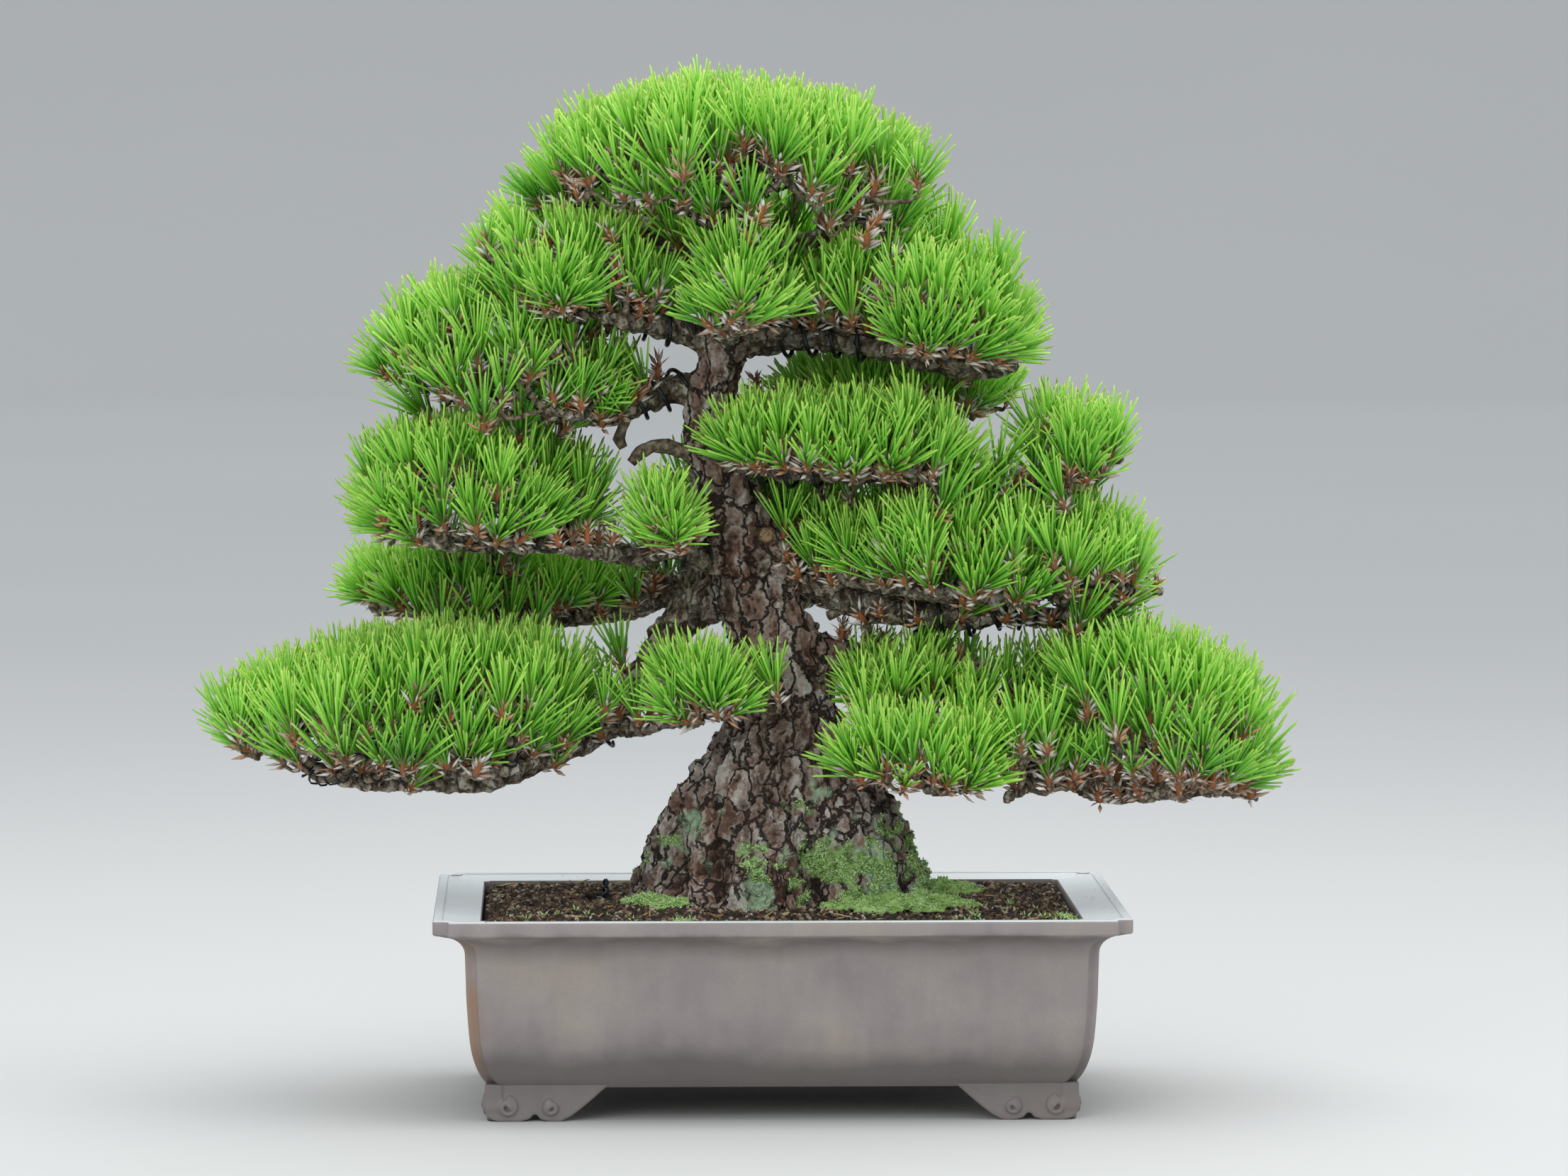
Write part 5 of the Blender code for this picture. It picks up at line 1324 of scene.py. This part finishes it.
def makeFeet():
    inset = pot["overhang"] + pot["tuck"] - 3 * mm
    cornerX, cornerY = pot["width"] / 2 - inset, pot["depth"] / 2 - inset
    whole = bmesh.new()
    for sideX in (-1, 1):
        for sideY in (-1, 1):
            for along, run in (("x", pot["frontLeg"]), ("y", pot["sideLeg"])):
                outline = legOutline(run)
                thick = pot["legThickness"] - 0.8 * mm
                flat = [Vector((x, 1.2 * mm, z)) for x, z in outline] + [Vector((x, thick, z)) for x, z in outline]
                n = len(outline)
                sides = [(k, (k + 1) % n, (k + 1) % n + n, k + n) for k in range(n)]
                leg = meshOf("leg", flat, sides + [tuple(reversed(range(n))), tuple(range(n, 2 * n))])
                share = run / pot["frontLeg"]
                curls = tubes("curls", [scroll(14.5 * mm * share, 9.8 * mm, 6.6 * mm, 1),
                                        scroll(43 * mm * share, 9.2 * mm, 5.4 * mm, -1)], 6)
                part = bmesh.new()
                part.from_mesh(leg)
                part.from_mesh(curls)
                for vert in part.verts:
                    x, y, z = vert.co
                    if along == "y":
                        x, y = y, x
                    vert.co = middle + Vector((sideX * (cornerX - x), sideY * (cornerY - y), z))
                bmesh.ops.recalc_face_normals(part, faces=part.faces)
                whole.from_mesh(meshFrom("part", part))
    feet = remeshed(newObject("pot_feet", meshFrom("pot_feet", whole)), 0.8 * mm, 5)
    points = pointsOf(feet.data)
    points[:, 2] = np.maximum(points[:, 2], 0)
    moveTo(feet.data, points)
    dress(thinned(feet, pot["feetTriangles"]).data, finish["stoneware"])
    return ride(feet, "stoneware", "pot")


makePot()
makeFeet()
stage("pot")

# ---- soil and what lies on it

soil = {"voxel": 2.6 * mm, "heave": 1.1 * mm}
strewn = {  # how many, length or size in mm from and to, what they are made of
    "soil_crumbs": (6400, 1.5, 3.8, "crumb"),
    "bark_chips": (260, 4.0, 8.0, "chip"),
    "dry_straws": (70, 8.0, 18.0, "straw"),
    "white_grit": (90, 1.4, 2.8, "grit"),
}


def lumpShape(name, seed, stretch, rough):
    bm = bmesh.new()
    bmesh.ops.create_icosphere(bm, subdivisions=1, radius=0.5)
    for vert in bm.verts:
        push = 1 + rough * noise.noise(vert.co * 3 + Vector((seed, 0, 0)))
        vert.co = Vector(vert.co[k] * stretch[k] * push for k in range(3))
    return newObject(name, meshFrom(name, bm))


def strewTree(name):
    # Drops copies of a shape on points, each turned its own way and sized between two limits
    tree, given = newTree(name, Geometry=["Geometry"], Object=["Shape"], Float=["Least Size", "Most Size", "Tumble"],
                          Int=["Seed"], Material=["Finish"])
    axis = addNode(tree, "GeometryNodeInputNamedAttribute", {"Name": "axis"}, data_type="FLOAT_VECTOR").outputs[0]
    sizes, lot = (
        addNode(tree, "FunctionNodeRandomValue", {2: least, 3: most, "Seed": seed}, data_type="FLOAT").outputs[1]
        for least, most, seed in ((given["Least Size"], given["Most Size"], given["Seed"]), (0.0, 1.0, 9)))
    back = product(tree, given["Tumble"], -1.0)
    halfTurn = 3.14159
    low = addNode(tree, "ShaderNodeCombineXYZ", {"X": back, "Y": back, "Z": -halfTurn}).outputs[0]
    high = addNode(tree, "ShaderNodeCombineXYZ", {"X": given["Tumble"], "Y": given["Tumble"], "Z": halfTurn}).outputs[0]
    turn = addNode(tree, "FunctionNodeRandomValue", {0: low, 1: high, "Seed": given["Seed"]},
                   data_type="FLOAT_VECTOR").outputs[0]
    setOut(tree, given, given["Geometry"], aimed(tree, axis, turn), sizes, lot)
    return tree


strew = strewTree("strew_on_points")


def makeSoil():
    bed = remeshed(mergedCopy("soil_bed", "soil"), soil["voxel"], 2)
    mesh = bed.data
    points, normals = pointsOf(mesh), normalsOf(mesh)
    top = normals[:, 2] > 0.6
    heave = np.array([noise.fractal(Vector(p) * 120, 0.8, 2.0, 4) if t else 0 for p, t in zip(points, top)])
    points[:, 2] += heave * soil["heave"]
    moveTo(mesh, points)
    mesh.shade_smooth()
    dress(mesh, finish["earth"])
    ride(bed, "potting_soil", "soil")
    tree = treeOf(bed)
    low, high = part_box("soil")
    rng = np.random.default_rng(31)
    shapes = {
        "soil_crumbs": lumpShape("crumb_shape", 1, (1.0, 0.85, 0.75), 0.9),
        "bark_chips": lumpShape("chip_shape", 4, (1.0, 0.5, 0.22), 0.8),
        "dry_straws": lumpShape("straw_shape", 7, (1.0, 0.07, 0.06), 0.2),
        "white_grit": lumpShape("grit_shape", 9, (1.0, 0.9, 0.8), 0.6),
    }
    for name, (count, least, most, kind) in strewn.items():
        spots, axes = [], []
        while len(spots) < count:
            x, y = rng.uniform(low.x + 0.002, high.x - 0.002), rng.uniform(low.y + 0.002, high.y - 0.002)
            place, normal, _, _ = tree.ray_cast(Vector((x, y, high.z + 0.05)), Vector((0, 0, -1)))
            if place is None or place.z < high.z - 0.02 or woodTree.find_nearest(place)[3] < 1.2 * mm:
                continue
            edge = min(x - low.x, high.x - x, y - low.y, high.y - y)
            if edge < (most * 0.5) * mm and kind != "crumb":
                continue
            spots.append(place + Vector((0, 0, 0.25 * least * mm)))
            axes.append(normal)
        piece = grown(name, strew, spots, axes, [1] * count, [0] * count, {
            "Shape": shapes[name], "Least Size": least * mm, "Most Size": most * mm,
            "Tumble": 3.1 if kind in ("crumb", "grit") else 0.35, "Seed": 2, "Finish": finish[kind]})
        piece.data.shade_flat()
        ride(piece, "pumice_grit" if kind == "grit" else "potting_soil")
    for shape in shapes.values():
        bpy.data.objects.remove(shape)
    return tree


soilTree = makeSoil()
stage("soil")

# ---- moss: the cushions on the soil, and tufts on the trunk's foot

mossy = {
    "voxel": 1.6 * mm, "lump": 4.2 * mm, "frond": 2.8 * mm, "width": 1.5 * mm, "onCushions": 2600, "onBark": 3600,
    # x, y and spread in mm, how many
    "sprouts": [(188, -104, 7, 34), (-62, -118, 5, 22), (118, -112, 9, 12), (-150, -96, 22, 10), (150, -60, 20, 10)],
}


def makeMoss():
    shape = leafShape("frond_shape", mossy["width"], mossy["width"] * 0.8, 0.4 * mm)
    spots, axes = [], []
    for number, node in enumerate(sorted(n for n in nodes if n.startswith("moss_"))):
        cushion = remeshed(mergedCopy(node + "_cushion", node), mossy["voxel"], 2)
        mesh = cushion.data
        points, normals = pointsOf(mesh), normalsOf(mesh)
        lumps = np.array([noise.fractal(Vector(p) * 110, 0.7, 2.0, 4) for p in points])
        sprawl = np.array([noise.noise(Vector(p) * 50) for p in points])
        swell = np.clip(lumps, -0.9, 0.9) * mossy["lump"]
        points += normals * np.stack([swell + sprawl * 12 * mm, swell + sprawl * 12 * mm, swell], axis=1)
        moveTo(mesh, points)
        store(mesh, "shade", 0.25 + 0.3 * lumps)
        dress(mesh, finish["moss"])
        ride(cushion, "moss", node)
        p, n = scatterOn(mesh, mossy["onCushions"] // 4, 40 + number)
        spots.append(p)
        axes.append(n)
    p, n = scatterOn(wood.data, mossy["onBark"], 50, stored(wood.data, "moss") ** 2)
    spots.append(p)
    axes.append(n)
    rng = np.random.default_rng(6)
    sprouts = []
    for x, y, spread, many in mossy["sprouts"]:
        for shift in rng.normal(0, spread, (many, 2)):
            above = middle + Vector((x + shift[0], y + shift[1], 400)) * mm
            place = soilTree.ray_cast(above, Vector((0, 0, -1)))[0]
            if place:
                sprouts.append(tuple(place))
    sizes = np.concatenate([np.ones(sum(len(p) for p in spots)), rng.uniform(1.4, 2.6, len(sprouts))])
    spots.append(np.array(sprouts))
    axes.append(np.array([(0.0, 0.0, 1.0)] * len(sprouts)))
    spots, axes = np.concatenate(spots), np.concatenate(axes) + np.array([0, 0, 0.6])
    axes /= np.linalg.norm(axes, axis=1)[:, None]
    tints = rng.uniform(0.3, 0.75, len(spots))
    piece = grown("moss_fronds", fan, spots - axes * 0.4 * mm, axes, sizes, tints, {
        "Shape": shape, "Copies": 3, "Least Angle": 0.2, "Most Angle": 0.9, "Shoot Length": 0.4 * mm,
        "Length": mossy["frond"], "Least Size": 0.5, "Most Size": 1.1, "Shade Range": 0.3, "Seed": 8,
        "Finish": finish["moss"]})
    bpy.data.objects.remove(shape)
    ride(piece, "moss")


makeMoss()
stage("moss")

# ---- the small parts that keep their CAD shape

for node, kind in (("drainage_layer", "pumice"), ("drain_screen_left", "plastic"), ("drain_screen_right", "plastic"),
                   ("screen_staple_left", "steel"), ("screen_staple_right", "steel"), ("tie_wire", "wire")):
    dress(nodes[node].data, finish[kind])
stage("small parts")
